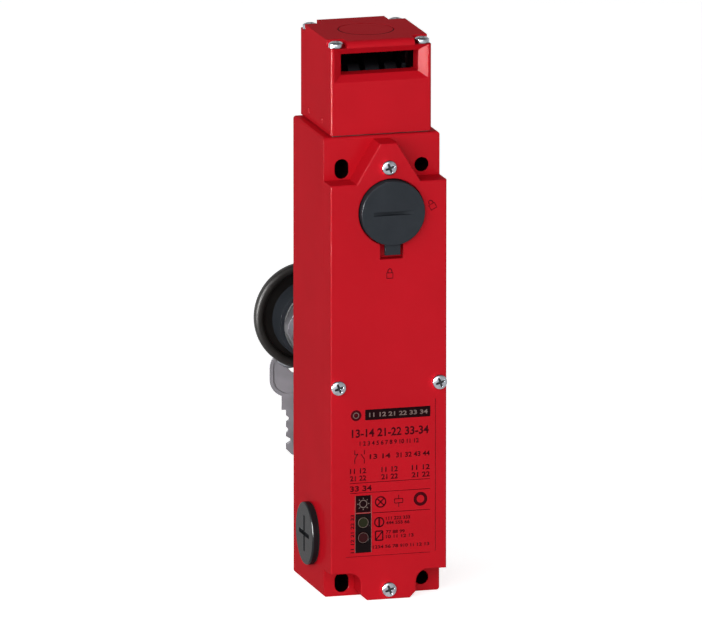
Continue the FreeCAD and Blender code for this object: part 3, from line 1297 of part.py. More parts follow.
def release_tube():
    """Threaded sleeve from the case's back to the button's collar."""
    profile = [(ROD_R + RUN, -TUBE_BOSS_L), (TUBE_R, -TUBE_BOSS_L), (TUBE_R, TUBE_END)]
    profile += [(SPRING_BORE_R, TUBE_END), (SPRING_BORE_R, GUIDE_END), (ROD_R + RUN, GUIDE_END)]
    return turned_y(profile, 0, 0)


def release_nut():
    """Hexagon nut that clamps the guard's wall, rounded to a collar at its face."""
    y1 = TUBE_END - WASHER_T - SEAT
    y0 = y1 - NUT_T
    corner_r = NUT_FLATS / 2 / cos(pi / 6)
    corners = [(corner_r * cos(i * pi / 3), corner_r * sin(i * pi / 3)) for i in range(6)]
    hexagon = prism_y(corners, y0, y1)
    hexagon = hexagon.common(rod_y(NUT_R, y0, y1, 0, 0))
    return hexagon.cut(rod_y(TUBE_R + SEAT, y0, y1, 0, 0))


def release_washer():
    y0 = TUBE_END - WASHER_T
    ring = rod_y(NUT_R - WASHER_IN, y0, TUBE_END, 0, 0)
    return ring.cut(rod_y(TUBE_R + SEAT, y0, TUBE_END, 0, 0))


def release_bezel():
    """Collar on the sleeve's end that guides the mushroom's stem."""
    y0 = TUBE_END
    profile = [(BEZEL_BORE_R, y0), (BEZEL_R, y0), (BEZEL_R, BEZEL_END - BEZEL_CHAMFER)]
    profile += [(BEZEL_R - BEZEL_CHAMFER, BEZEL_END), (BEZEL_BORE_R, BEZEL_END)]
    return turned_y(profile, 0, 0)


def mushroom_head():
    """Mushroom with a rolled rim, a groove over the collar and a bore for the lock."""
    groove_y = MUSHROOM_RIM + BUTTON_STROKE
    stem = BEZEL_BORE_R - RUN
    profile = [(ROD_R + SEAT, STEM_Y0), (stem, STEM_Y0), (stem, groove_y), (MUSHROOM_GROOVE_R, groove_y)]
    profile += [(MUSHROOM_GROOVE_R, MUSHROOM_RIM), (MUSHROOM_R, MUSHROOM_RIM), (MUSHROOM_R, MUSHROOM_TOP)]
    profile += [(BARREL_R + SEAT, MUSHROOM_TOP), (BARREL_R + SEAT, STEM_FLOOR), (ROD_R + SEAT, STEM_FLOOR)]
    body = turned_y(profile, 0, 0)

    def rim_edge(edge):
        return abs(edge.CenterOfMass.y - MUSHROOM_RIM) < 1e-6

    def crown_edge(edge):
        return abs(edge.CenterOfMass.y - MUSHROOM_TOP) < 1e-6 and edge.Length > 2 * pi * (MUSHROOM_R - 1)
    body = rounded(body, MUSHROOM_CROWN_R, crown_edge)
    return rounded(body, MUSHROOM_RIM_R, rim_edge)


def release_rod():
    """Rod from the mushroom to the wedge tip that lifts the armature's foot."""
    end = STEM_FLOOR
    back = COLLAR_Y + COLLAR_T
    profile = [(0, ROD_END), (ROD_TIP_R, ROD_END), (ROD_R, ROD_END + ROD_TIP_L), (ROD_R, COLLAR_Y)]
    profile += [(COLLAR_R, COLLAR_Y), (COLLAR_R, back), (ROD_R, back), (ROD_R, end), (0, end)]
    return turned_y(profile, 0, 0)


def button_spring():
    length = COLLAR_Y - GUIDE_END
    spring = coil_spring(BUTTON_SPRING_R, BUTTON_SPRING_WIRE_R, V(0, 0, 0), length, BUTTON_SPRING_TURNS)
    spring.rotate(V(0, 0, 0), V(1, 0, 0), -90)
    spring.translate(V(0, GUIDE_END, 0))
    return spring


def lock_barrel():
    y0 = STEM_FLOOR + SEAT
    bore = PLUG_R + RUN
    profile = [(bore, y0), (BARREL_R, y0), (BARREL_R, MUSHROOM_TOP), (BARREL_FLANGE_R, MUSHROOM_TOP)]
    profile += [(BARREL_FLANGE_R, PLUG_FACE - BARREL_CHAMFER), (BARREL_FLANGE_R - BARREL_CHAMFER, PLUG_FACE)]
    profile += [(bore, PLUG_FACE)]
    return turned_y(profile, 0, 0)


def lock_plug():
    """Plug that the key turns, with its keyway open at the face."""
    body = rod_y(PLUG_R, STEM_FLOOR + SEAT, PLUG_FACE, 0, 0)
    half_t = KEY_T / 2 + SEAT
    half_w = KEY_BLADE_W / 2 + SEAT
    deep = PLUG_FACE - KEY_INSERTED - SLIDE
    return body.cut(block(-half_t, half_t, deep, PLUG_FACE, -half_w, half_w))


def bow_panels():
    """Sunk panels in the bow's two faces, which leave its raised border."""
    half = KEY_T / 2
    x = KEY_BOW_W / 2 - KEY_RIM_W
    panels = []
    for y0, y1 in ((-half, KEY_RIM_H - half), (half - KEY_RIM_H, half)):
        panel = block(-x, x, y0, y1, KEY_RIM_W - KEY_BOW_L, -KEY_RIM_W)
        panels.append(rounded(panel, KEY_BOW_R - KEY_RIM_W, lambda e: is_line(e, 1)))
    return panels


def key_shape(blade_length):
    """Flat key in the xz plane: bow's end at z 0, blade pointing down, cuts on its left edge."""
    half = KEY_T / 2
    bow = block(-KEY_BOW_W / 2, KEY_BOW_W / 2, -half, half, -KEY_BOW_L, 0)
    bow = rounded(bow, KEY_BOW_R, lambda e: is_line(e, 1))
    neck_low = -KEY_BOW_L - KEY_NECK_L
    neck = block(-KEY_NECK_W / 2, KEY_NECK_W / 2, -half, half, neck_low, -KEY_BOW_L + 1)
    tip = neck_low - blade_length
    w = KEY_BLADE_W / 2
    nose = KEY_NOSE
    blade = prism_y([(-w, neck_low + 1), (-w, tip + nose), (-w + nose, tip), (w - nose, tip), (w, tip + nose),
                     (w, neck_low + 1)], -half, half)
    cuts = [rod_y(KEY_HOLE_R, -half, half, 0, -KEY_HOLE_IN)] + bow_panels()
    flat = KEY_CUT_FLAT
    reach = KEY_CUT_HALF_L
    for share, deep in KEY_CUTS:
        z = neck_low - share * blade_length
        notch = [(-w - 1, z + reach), (-w + deep, z + flat), (-w + deep, z - flat), (-w - 1, z - reach)]
        cuts.append(prism_y(notch, -half, half))
    return cut(union([bow, neck, blade]), cuts)


def lock_key():
    """Key in the lock, bow upright, its ring hole behind the mushroom."""
    key = key_shape(KEY_INSERTED)
    key.rotate(V(0, 0, 0), V(1, 0, 0), -90)
    key.rotate(V(0, 0, 0), V(0, 1, 0), 90)
    key.translate(V(0, HOLE_Y + KEY_HOLE_IN, 0))
    return key


def key_ring():
    twist = radians(RING_TWIST)
    return Part.makeTorus(RING_R, RING_WIRE_R, V(RING_X, HOLE_Y, -RING_R), V(-sin(twist), cos(twist), 0))


def spare_key():
    """Second key, hanging from the ring with its blade down."""
    key = key_shape(KEY_BLADE_L)
    key.translate(V(0, 0, KEY_HOLE_IN))
    key.rotate(V(0, 0, 0), V(0, 0, 1), -SPARE_TWIST)
    key.translate(V(SPARE_X, HOLE_Y, -2 * RING_R))
    return key


# ---- build ----------------------------------------------------------------------------
NODES = {
    "main_housing": main_housing,
    "front_cover": front_cover,
    "cover_gasket": cover_gasket,
    "cover_screws": cover_screws,
    "turret_head": turret_head,
    "head_gasket": head_gasket,
    "head_screws": head_screws,
    "head_top_disc": head_top_disc,
    "cam_carrier": cam_carrier,
    "cam_axle": cam_axle,
    "cam_drum": cam_drum,
    "drive_pin": drive_pin,
    "drive_slide": drive_slide,
    "contact_carrier": contact_carrier,
    "contact_bridges": contact_bridges,
    "contact_block_left": lambda: contact_blocks()[0],
    "contact_block_right": lambda: contact_blocks()[1],
    "contact_block_screws": block_screws,
    "fixed_contacts": fixed_contacts,
    "terminal_screws": terminal_screws,
    "drive_spring": drive_spring,
    "solenoid_frame": solenoid_frame,
    "solenoid_screws": frame_screws,
    "coil_bobbin": bobbin,
    "coil_winding": coil_winding,
    "solenoid_core": solenoid_core,
    "armature": armature,
    "push_rod": push_rod,
    "push_rod_pin": cross_pin,
    "armature_spring": armature_spring,
    "lock_lever": lock_lever,
    "lever_pin": lever_pin,
    "selector_cap": selector_cap,
    "selector_shaft": selector_shaft,
    "selector_seal": selector_seal,
    "selector_clip": selector_clip,
    "lamp_strip": lamp_strip,
    "lamp_lenses": lamp_lenses,
    "lamp_board": lamp_board,
    "status_lamps": lamps,
    "board_screws": board_screws,
    "cable_entry_plug": cable_plug,
    "cable_plug_seal": cable_plug_seal,
    "earth_screw": earth_screw,
    "earth_clamp": earth_clamp,
    "release_tube": release_tube,
    "release_nut": release_nut,
    "release_washer": release_washer,
    "release_bezel": release_bezel,
    "mushroom_head": mushroom_head,
    "release_rod": release_rod,
    "button_spring": button_spring,
    "lock_barrel": lock_barrel,
    "lock_plug": lock_plug,
    "lock_key": lock_key,
    "key_ring": key_ring,
    "spare_key": spare_key,
}


def main():
    os.makedirs("parts", exist_ok=True)
    for name, make in NODES.items():
        save(name, make())


main()
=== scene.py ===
"""Tongue interlock switch with guard locking: finishes, screws, springs, printing, studio."""

from math import cos, pi, radians, sin

import bmesh
import bpy
import numpy as np
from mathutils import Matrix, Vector


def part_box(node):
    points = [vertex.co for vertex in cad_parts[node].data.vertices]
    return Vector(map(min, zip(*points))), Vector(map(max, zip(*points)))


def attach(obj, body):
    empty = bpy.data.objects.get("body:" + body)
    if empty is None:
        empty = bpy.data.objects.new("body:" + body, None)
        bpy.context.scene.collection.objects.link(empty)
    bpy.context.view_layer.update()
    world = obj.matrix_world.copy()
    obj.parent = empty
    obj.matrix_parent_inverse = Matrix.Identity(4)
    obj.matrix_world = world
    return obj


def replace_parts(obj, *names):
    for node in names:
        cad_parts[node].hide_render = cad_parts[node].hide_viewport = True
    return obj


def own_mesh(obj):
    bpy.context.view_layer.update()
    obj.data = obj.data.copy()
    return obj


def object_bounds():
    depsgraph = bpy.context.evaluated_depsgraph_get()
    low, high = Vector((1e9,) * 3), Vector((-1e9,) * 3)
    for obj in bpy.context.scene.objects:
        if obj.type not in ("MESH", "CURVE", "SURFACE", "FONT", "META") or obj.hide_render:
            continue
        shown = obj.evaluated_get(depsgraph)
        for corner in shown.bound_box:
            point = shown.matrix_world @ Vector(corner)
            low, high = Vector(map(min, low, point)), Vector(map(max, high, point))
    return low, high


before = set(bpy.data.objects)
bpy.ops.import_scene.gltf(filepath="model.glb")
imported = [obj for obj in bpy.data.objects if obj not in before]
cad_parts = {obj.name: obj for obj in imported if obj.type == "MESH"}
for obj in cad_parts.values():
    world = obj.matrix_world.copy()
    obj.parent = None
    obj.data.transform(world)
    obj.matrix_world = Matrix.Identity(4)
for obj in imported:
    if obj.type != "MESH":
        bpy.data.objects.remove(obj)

CAD_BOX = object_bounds()
MM = 0.001

# ---- places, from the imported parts, in metres -----------------------------------------
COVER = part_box("front_cover")
FACE_Y = COVER[0].y
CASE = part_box("main_housing")
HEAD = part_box("turret_head")
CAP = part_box("selector_cap")
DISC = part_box("head_top_disc")
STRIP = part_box("lamp_strip")
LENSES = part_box("lamp_lenses")
CASE_FOOT = CASE[0].z

# ---- sizes that the new pieces share, in millimetres ----------------------------------
# A screw's head radius and height, shank radius, and the reach and depth of its cross.
COVER_SCREW = {"head_r": 2.65, "head_h": 1.58, "shank_r": 1.5, "arm": 1.75, "deep": 0.95}
HEAD_SCREW = {"head_r": 2.7, "head_h": 2.18, "shank_r": 1.25, "arm": 1.7, "deep": 1.1}
HEAD_SCREW_SEAT = 2.2         # the head screws' seats under the turret's top
SCREW_TIP_GAP = 0.02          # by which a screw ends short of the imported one's tip
SIDE_SCREW_Z = -2.0           # height of the two cover screws beside the middle
ARMATURE_WIRE_R, ARMATURE_TURNS = 0.45, 5
BUTTON_WIRE_R, BUTTON_TURNS = 0.5, 7
INK = 0.03                    # how far the printing stands over the enamel
PRINT_LEFT, PRINT_RIGHT = -14.6, 15.4
BAR_Z = 69.0                  # middle of the dark bar, over the case's foot
LAMP_SIGN_Z = 36.1            # middle of the lamp symbol, over the case's foot
FIXING_X, FIXING_Z = 15.0, 76.65    # the fixing holes' axes from the middle
FIXING_HALF_X, FIXING_HALF_Z = 3.3, 4.0    # a block round each hole's bore
UNSHADED_BORE_RIM = 0.6                # depth of a fixing hole's rim kept in plain enamel; deeper, the bore is painted dark as shade
UNSHADED_SLOT_MOUTH = 9.0              # depth of the tongue slot's mouth kept in plain enamel; behind it the head is painted dark as shade
UNSHADED_TURRET_WALL = 1.5             # wall of the turret left out of the painted shade
DISC_JOINT = 0.35             # width of the dark joint round the knock-out disc


# ---- node trees -----------------------------------------------------------------------
WAVE_REPEAT = 0.314           # metres between the bands of a wave texture at scale 1


def linear(code):
    """Linear colour of an sRGB hex code: c/12.92 below 0.04045, ((c+0.055)/1.055)^2.4 above."""
    c = np.array([int(code[i:i + 2], 16) for i in (0, 2, 4)]) / 255
    lit = np.where(c <= 0.04045, c / 12.92, ((c + 0.055) / 1.055) ** 2.4)
    return (*lit.tolist(), 1.0)


def add(tree, kind, settings=None, links=None):
    """Adds a node, sets its sockets or properties, and joins its inputs to (node, output)."""
    made = tree.nodes.new(kind)
    for key, value in (settings or {}).items():
        if isinstance(key, int) or key in made.inputs:
            made.inputs[key].default_value = value
        else:
            setattr(made, key, value)
    for key, (source, output) in (links or {}).items():
        tree.links.new(source.outputs[output], made.inputs[key])
    return made


def place_of(tree, stretch=(1, 1, 1)):
    """Object coordinates, drawn out where stretch is under 1."""
    coords = (add(tree, "ShaderNodeTexCoord"), "Object")
    return add(tree, "ShaderNodeMapping", {"Scale": stretch}, {"Vector": coords}), "Vector"


def operate(tree, kind, operation, first, second):
    """Adds an operation on first, a (node, output), and second, another one or a plain value."""
    settings, links = {"operation": operation}, {0: first}
    if isinstance(second, tuple) and isinstance(second[1], str):
        links[1] = second
    elif second is not None:
        settings[1] = second
    return add(tree, kind, settings, links)


def value_of(tree, operation, first, second):
    """Result of a math node on two values."""
    return operate(tree, "ShaderNodeMath", operation, first, second), "Value"


def vector_of(tree, operation, first, second=None):
    """Result of a vector math node on one or two vectors."""
    return operate(tree, "ShaderNodeVectorMath", operation, first, second), "Vector"


def cloud(grain, detail=3.0, stretch=(1, 1, 1)):
    """Noise whose patches are about grain millimetres across."""
    def draw(tree):
        settings = {"Scale": 1 / (grain * MM), "Detail": detail}
        place = place_of(tree, stretch)
        return add(tree, "ShaderNodeTexNoise", settings, {"Vector": place}), "Fac"
    return draw


def pebble(grain):
    """Rounded cells of a spark-eroded or cast grain, grain millimetres apart."""
    def draw(tree):
        settings = {"Scale": 1 / (grain * MM), "feature": "SMOOTH_F1"}
        place = place_of(tree)
        return add(tree, "ShaderNodeTexVoronoi", settings, {"Vector": place}), "Distance"
    return draw


def bands(pitch, direction="Z", waver=0.4):
    """Parallel bands pitch millimetres apart: a wave texture repeats every WAVE_REPEAT/scale."""
    def draw(tree):
        settings = {"Scale": WAVE_REPEAT / (pitch * MM), "bands_direction": direction,
                    "Distortion": waver, "Detail": 1.0}
        return add(tree, "ShaderNodeTexWave", settings, {"Vector": place_of(tree)}), "Fac"
    return draw


def above(z):
    """0 under the height z, in metres, and 1 over it."""
    def draw(tree):
        split = add(tree, "ShaderNodeSeparateXYZ", links={"Vector": place_of(tree)})
        return value_of(tree, "GREATER_THAN", (split, "Z"), z)
    return draw


def inside(low, high, mirrored=False):
    """1 in a block from low to high, in millimetres: its largest |(p - middle) / half| is under 1.

    mirrored asks the same of the block's images across X 0 and Z 0.
    """
    low, high = np.array(low) * MM, np.array(high) * MM
    half, middle = (high - low) / 2, (high + low) / 2

    def draw(tree):
        place = place_of(tree)
        if mirrored:
            folded = vector_of(tree, "ABSOLUTE", place)
            place = vector_of(tree, "MULTIPLY", folded, Vector((1, -1, 1)))
        shifted = vector_of(tree, "SUBTRACT", place, Vector(middle))
        scaled = vector_of(tree, "DIVIDE", shifted, Vector(half))
        sized = vector_of(tree, "ABSOLUTE", scaled)
        split = add(tree, "ShaderNodeSeparateXYZ", links={"Vector": sized})
        wide = value_of(tree, "MAXIMUM", (split, "X"), (split, "Z"))
        most = value_of(tree, "MAXIMUM", wide, (split, "Y"))
        return value_of(tree, "LESS_THAN", most, 1.0)
    return draw


def beyond(radius, x, y):
    """1 further than radius from the upright line through x, y, in metres."""
    def draw(tree):
        settings = {"operation": "MULTIPLY_ADD", 1: (1, 1, 0), 2: (-x, -y, 0)}
        flat = add(tree, "ShaderNodeVectorMath", settings, {0: place_of(tree)})
        away = add(tree, "ShaderNodeVectorMath", {"operation": "LENGTH"}, {0: (flat, "Vector")})
        return value_of(tree, "GREATER_THAN", (away, "Value"), radius)
    return draw


def finish(name, tones, rough, pattern, depth, drift=None, edge=0.15, shade_and_joint_dirt=None, **sockets):
    """Material whose colour runs between two hex tones and whose roughness runs over a range.

    drift draws the slow change of tone, and pattern the fine relief, depth millimetres high. Edges
    are shaded as if rounded by edge millimetres. The mask and tone given after edge paint a darker
    tone inside the mask: shade in hollows on the case and head, a joint's dirt on the disc.
    """
    made = bpy.data.materials.new(name)
    made.use_nodes = True
    tree = made.node_tree
    surface = next(n for n in tree.nodes if n.type == "BSDF_PRINCIPLED")
    for socket, value in sockets.items():
        surface.inputs[socket.replace("_", " ")].default_value = value
    tone = (drift or cloud(9.0))(tree)
    ramp = add(tree, "ShaderNodeValToRGB", links={"Fac": tone})
    for stop, code, at in zip(ramp.color_ramp.elements, tones, (0.3, 0.7)):
        stop.color, stop.position = linear(code), at
    colour = ramp.outputs["Color"]
    # The mask's tone is painted shade on the case and head, and a joint's dirt on the disc.
    if shade_and_joint_dirt:
        mask, shade_and_dirt_tone = shade_and_joint_dirt
        # A mix of colours takes them at sockets 6 and 7, and gives its result at socket 2.
        mixed = add(tree, "ShaderNodeMix", {"data_type": "RGBA", 7: linear(shade_and_dirt_tone)},
                    {0: mask(tree), 6: (ramp, "Color")})
        colour = mixed.outputs[2]
    tree.links.new(colour, surface.inputs["Base Color"])
    relief = pattern(tree)
    spread = add(tree, "ShaderNodeMapRange", {"To Min": rough[0], "To Max": rough[1]},
                 {"Value": relief})
    tree.links.new(spread.outputs["Result"], surface.inputs["Roughness"])
    rounded = add(tree, "ShaderNodeBevel", {"samples": 4, "Radius": edge * MM})
    bump = add(tree, "ShaderNodeBump", {"Strength": 1.0, "Distance": depth * MM},
               {"Height": relief, "Normal": (rounded, "Normal")})
    for socket in ("Normal", "Coat Normal"):
        tree.links.new(bump.outputs["Normal"], surface.inputs[socket])
    return made


# ---- finishes -------------------------------------------------------------------------

# Zinc die casting, sprayed with satin enamel: deep red, a faint orange peel, low gloss.
def enamel(name, shade_and_joint_dirt=None):
    """The enamel, whole or with a mask inside which a darker tone is painted: shade in hollows, a
    joint's dirt on the disc.
    """
    return finish(name, ("bb1320", "c11422"), (0.40, 0.50), cloud(0.7, 2.0), 0.004, cloud(22.0),
                  0.4, shade_and_joint_dirt, Specular_IOR_Level=0.0, Coat_Weight=0.035, Coat_IOR=2.3,
                  Coat_Roughness=0.2)


# Painted shade for the casting's deep holes and hollows: a black with a red cast.
PAINTED_SHADE_TONE = "150406"
# Dirt in a narrow joint between two sprayed pieces.
JOINT_DIRT = "2a0408"

ENAMEL = enamel("satin_red_enamel")
# The same on the case, with painted shade in the fixing holes: past their rims they take the
# near-black tone.
FIXING_BORES_SHADE_MASK = inside(
    (FIXING_X - FIXING_HALF_X, COVER[1].y / MM + UNSHADED_BORE_RIM, FIXING_Z - FIXING_HALF_Z),
    (FIXING_X + FIXING_HALF_X, 0.0, FIXING_Z + FIXING_HALF_Z), mirrored=True)
CASE_ENAMEL_PAINTED_SHADE = enamel("satin_red_enamel_case_painted_shade", (FIXING_BORES_SHADE_MASK, PAINTED_SHADE_TONE))
# The same on the head, with painted shade behind the tongue slot's mouth: the turret's inside takes
# the near-black tone.
TURRET_HOLLOW_SHADE_MASK = inside(
    (HEAD[0].x / MM + UNSHADED_TURRET_WALL, HEAD[0].y / MM + UNSHADED_SLOT_MOUTH, HEAD[0].z / MM),
    (HEAD[1].x / MM - UNSHADED_TURRET_WALL, HEAD[1].y / MM - 1.0, HEAD[1].z / MM - UNSHADED_TURRET_WALL))
HEAD_ENAMEL_PAINTED_SHADE = enamel("satin_red_enamel_head_painted_shade", (TURRET_HOLLOW_SHADE_MASK, PAINTED_SHADE_TONE))
# The same on the knock-out disc, whose joint shows as a dark line.
DISC_RIM = beyond((DISC[1].x - DISC[0].x) / 2 - DISC_JOINT * MM,
                  (DISC[0].x + DISC[1].x) / 2, (DISC[0].y + DISC[1].y) / 2)
DISC_ENAMEL = enamel("satin_red_enamel_disc", (DISC_RIM, JOINT_DIRT))
# Glass-filled polyamide 66, moulded in a spark-eroded tool: slate grey, dull, finely pitted.
SLATE_NYLON = finish("glass_filled_nylon", ("2c3035", "31353a"), (0.50, 0.68), pebble(0.45),
                     0.006, Specular_IOR_Level=0.0, Coat_Weight=0.1, Coat_Roughness=0.25)
# The same polyamide off a polished tool: near black with a soft sheen.
BLACK_NYLON = finish("polished_nylon", ("16171a", "1e2023"), (0.28, 0.42), cloud(0.5), 0.003,
                     Specular_IOR_Level=0.0, Coat_Weight=0.28, Coat_Roughness=0.2)
# Acetal of the mushroom and its collar: warm black, satin.
ACETAL = finish("moulded_acetal", ("1a1817", "242220"), (0.40, 0.54), cloud(0.4), 0.003,
                Specular_IOR_Level=0.12)
# Nitrile rubber, compression moulded: black, matt, slightly uneven.
RUBBER = finish("nitrile_rubber", ("0e0e0f", "17171a"), (0.75, 0.9), cloud(0.6), 0.012)
# Cold-headed steel, bright zinc plate with clear passivation: silver with a cool cast.
ZINC_PLATE = finish("bright_zinc_plate", ("83878e", "a2a6ac"), (0.16, 0.30), cloud(0.25), 0.003,
                    cloud(1.2), Metallic=1.0)
# Painted shade in the cross recess of a driven screw: nearly black over the plate.
SCREW_RECESS_SHADE = finish("painted_recess_shade", ("1c1d20", "303237"), (0.35, 0.5), cloud(0.2), 0.003,
                Metallic=0.5)
# Pressed steel strip, zinc plated: greyer, with faint rolling lines along Z.
PRESSED_STEEL = finish("zinc_plated_strip", ("9a9da1", "b4b7ba"), (0.30, 0.46),
                       cloud(0.3, 3.0, (1, 1, 0.06)), 0.004, Metallic=1.0)
# Sintered steel of the cam, steam-treated: blue-black oxide with open pores.
SINTERED = finish("steam_treated_steel", ("17181b", "232428"), (0.34, 0.55), pebble(0.35), 0.010,
                  Metallic=1.0)
# Die-cast key and lock, dull nickel plate: grey with a warm cast, satin from tumbling.
DULL_NICKEL = finish("dull_nickel_plate", ("504f52", "605e62"), (0.34, 0.50), cloud(0.5), 0.006,
                     Metallic=1.0)
# Machined soft iron of the solenoid, with turning rings round its own axis drawn as fine bands.
TURNED_IRON = finish("turned_soft_iron", ("84868a", "9c9ea2"), (0.26, 0.42), bands(0.25), 0.004,
                     Metallic=1.0)
# Hard-drawn spring wire, phosphated: brown-grey with draw lines.
SPRING_WIRE = finish("drawn_spring_wire", ("6f7072", "8d8e90"), (0.25, 0.40), cloud(0.2, 2.0),
                     0.003, Metallic=1.0)
# Brass strip, rolled: warm yellow, lightly tarnished in patches.
ROLLED_BRASS = finish("rolled_brass", ("b08d4a", "c9a55e"), (0.24, 0.40),
                      cloud(0.4, 3.0, (1, 1, 0.1)), 0.003, cloud(2.5), Metallic=1.0)
# Enamelled copper winding: amber lacquer over turns drawn 0.5 mm apart, so that they show.
WINDING = finish("enamelled_copper_turns", ("7a3213", "a5502a"), (0.22, 0.40), bands(0.5), 0.05,
                 Metallic=0.6)
# Polyester moulding of the contact blocks: cream, with flow marks.
CREAM_POLYESTER = finish("cream_polyester", ("cfc6b2", "dbd3c1"), (0.46, 0.60), cloud(0.5),
                         0.004)
# Unfilled nylon of the bobbin: milky white.
MILKY_NYLON = finish("milky_nylon", ("d8d5cc", "e4e2da"), (0.35, 0.48), cloud(0.6), 0.003)
# Glass-epoxy laminate under solder resist: green, with the cloth's weave at about 0.6 mm.
LAMINATE = finish("glass_epoxy_laminate", ("0c4a26", "126034"), (0.28, 0.40), bands(0.6, "X"),
                  0.004)
# Smoked polycarbonate of the lamp window: almost black, glossy.
SMOKED_WINDOW = finish("smoked_polycarbonate", ("0b0305", "140507"), (0.10, 0.18), cloud(0.8),
                       0.001, Specular_IOR_Level=0.06)
# Screen-printed two-part ink: dark wine red where it is thin over the enamel, slightly ragged.
THIN_INK = finish("screen_ink_thin", ("3c020c", "4c0410"), (0.45, 0.6), cloud(0.3), 0.002,
                  cloud(0.8), Specular_IOR_Level=0.03)
# The same ink printed solid: black with a red cast.
SOLID_INK = finish("screen_ink_solid", ("110104", "1b0307"), (0.42, 0.58), cloud(0.3), 0.002,
                   Specular_IOR_Level=0.03)
# Pale grey second printing, for the symbols that stand on black.
PALE_INK = finish("screen_ink_pale", ("6a5a56", "84706a"), (0.45, 0.6), cloud(0.3), 0.002,
                  Specular_IOR_Level=0.05)
# Tinted polycarbonate light pipes over unlit lamps: deep bottle green above, oxblood below.
LIGHT_PIPE = finish("tinted_light_pipes", ("310a0d", "232512"), (0.10, 0.20), cloud(0.6), 0.001,
                    above((LENSES[0].z + LENSES[1].z) / 2), Specular_IOR_Level=0.08)

NODE_FINISHES = [
    (ENAMEL, "front_cover"),
    (CASE_ENAMEL_PAINTED_SHADE, "main_housing"),
    (HEAD_ENAMEL_PAINTED_SHADE, "turret_head"),
    (DISC_ENAMEL, "head_top_disc"),
    (SLATE_NYLON, "selector_cap release_bezel"),
    (BLACK_NYLON, "cable_entry_plug"),
    (ACETAL, "mushroom_head"),
    (RUBBER, "cover_gasket head_gasket selector_seal cable_plug_seal release_washer"),
    (ZINC_PLATE, "cover_screws head_screws contact_block_screws solenoid_screws board_screws"),
    (ZINC_PLATE, "earth_screw terminal_screws key_ring earth_clamp"),
    (PRESSED_STEEL, "solenoid_frame lock_lever drive_slide selector_clip release_tube"),
    (SINTERED, "cam_drum cam_carrier drive_pin"),
    (TURNED_IRON, "solenoid_core armature cam_axle push_rod push_rod_pin lever_pin"),
    (TURNED_IRON, "selector_shaft release_rod"),
    (SPRING_WIRE, "drive_spring armature_spring button_spring"),
    (ROLLED_BRASS, "contact_bridges fixed_contacts"),
    (WINDING, "coil_winding"),
    (CREAM_POLYESTER, "contact_carrier contact_block_left contact_block_right"),
    (MILKY_NYLON, "coil_bobbin"),
    (LAMINATE, "lamp_board"),
    (SMOKED_WINDOW, "lamp_strip"),
    (LIGHT_PIPE, "lamp_lenses status_lamps"),
    (DULL_NICKEL, "lock_barrel lock_plug lock_key spare_key release_nut"),
]


def dress(piece, material):
    """Gives the piece this finish alone."""
    piece.data.materials.clear()
    piece.data.materials.append(material)


# ---- surfaces -------------------------------------------------------------------------


def piece_from(name, points, faces, material, body, smooth=True):
    """A mesh object at the origin from points in millimetres and faces.

    Points that coincide, as at seams and poles, become one, and all the faces look outwards.
    """
    mesh = bpy.data.meshes.new(name)
    mesh.from_pydata((np.asarray(points) * MM).tolist(), [], [list(f) for f in faces])
    closed = bmesh.new()
    closed.from_mesh(mesh)
    bmesh.ops.remove_doubles(closed, verts=closed.verts, dist=1e-7)
    bmesh.ops.recalc_face_normals(closed, faces=closed.faces)
    closed.to_mesh(mesh)
    closed.free()
    mesh.polygons.foreach_set("use_smooth", np.full(len(mesh.polygons), smooth))
    mesh.update()
    made = bpy.data.objects.new(name, mesh)
    bpy.context.scene.collection.objects.link(made)
    dress(made, material)
    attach(made, body)
    return made


def grid_faces(rows, turns):
    """Quads of a grid whose rows close on themselves: column j joins j+1, modulo turns."""
    i, j = np.meshgrid(np.arange(rows - 1), np.arange(turns), indexing="ij")
    a, b = i * turns + j, i * turns + (j + 1) % turns
    return np.stack([a, b, b + turns, a + turns], -1).reshape(-1, 4)


def several(points, faces, places):
    """The same surface at each place: every copy's points are shifted and its faces renumbered."""
    copies = [points + np.asarray(p) for p in places]
    numbers = [np.asarray(faces) + k * len(points) for k in range(len(places))]
    return np.vstack(copies), np.vstack(numbers)


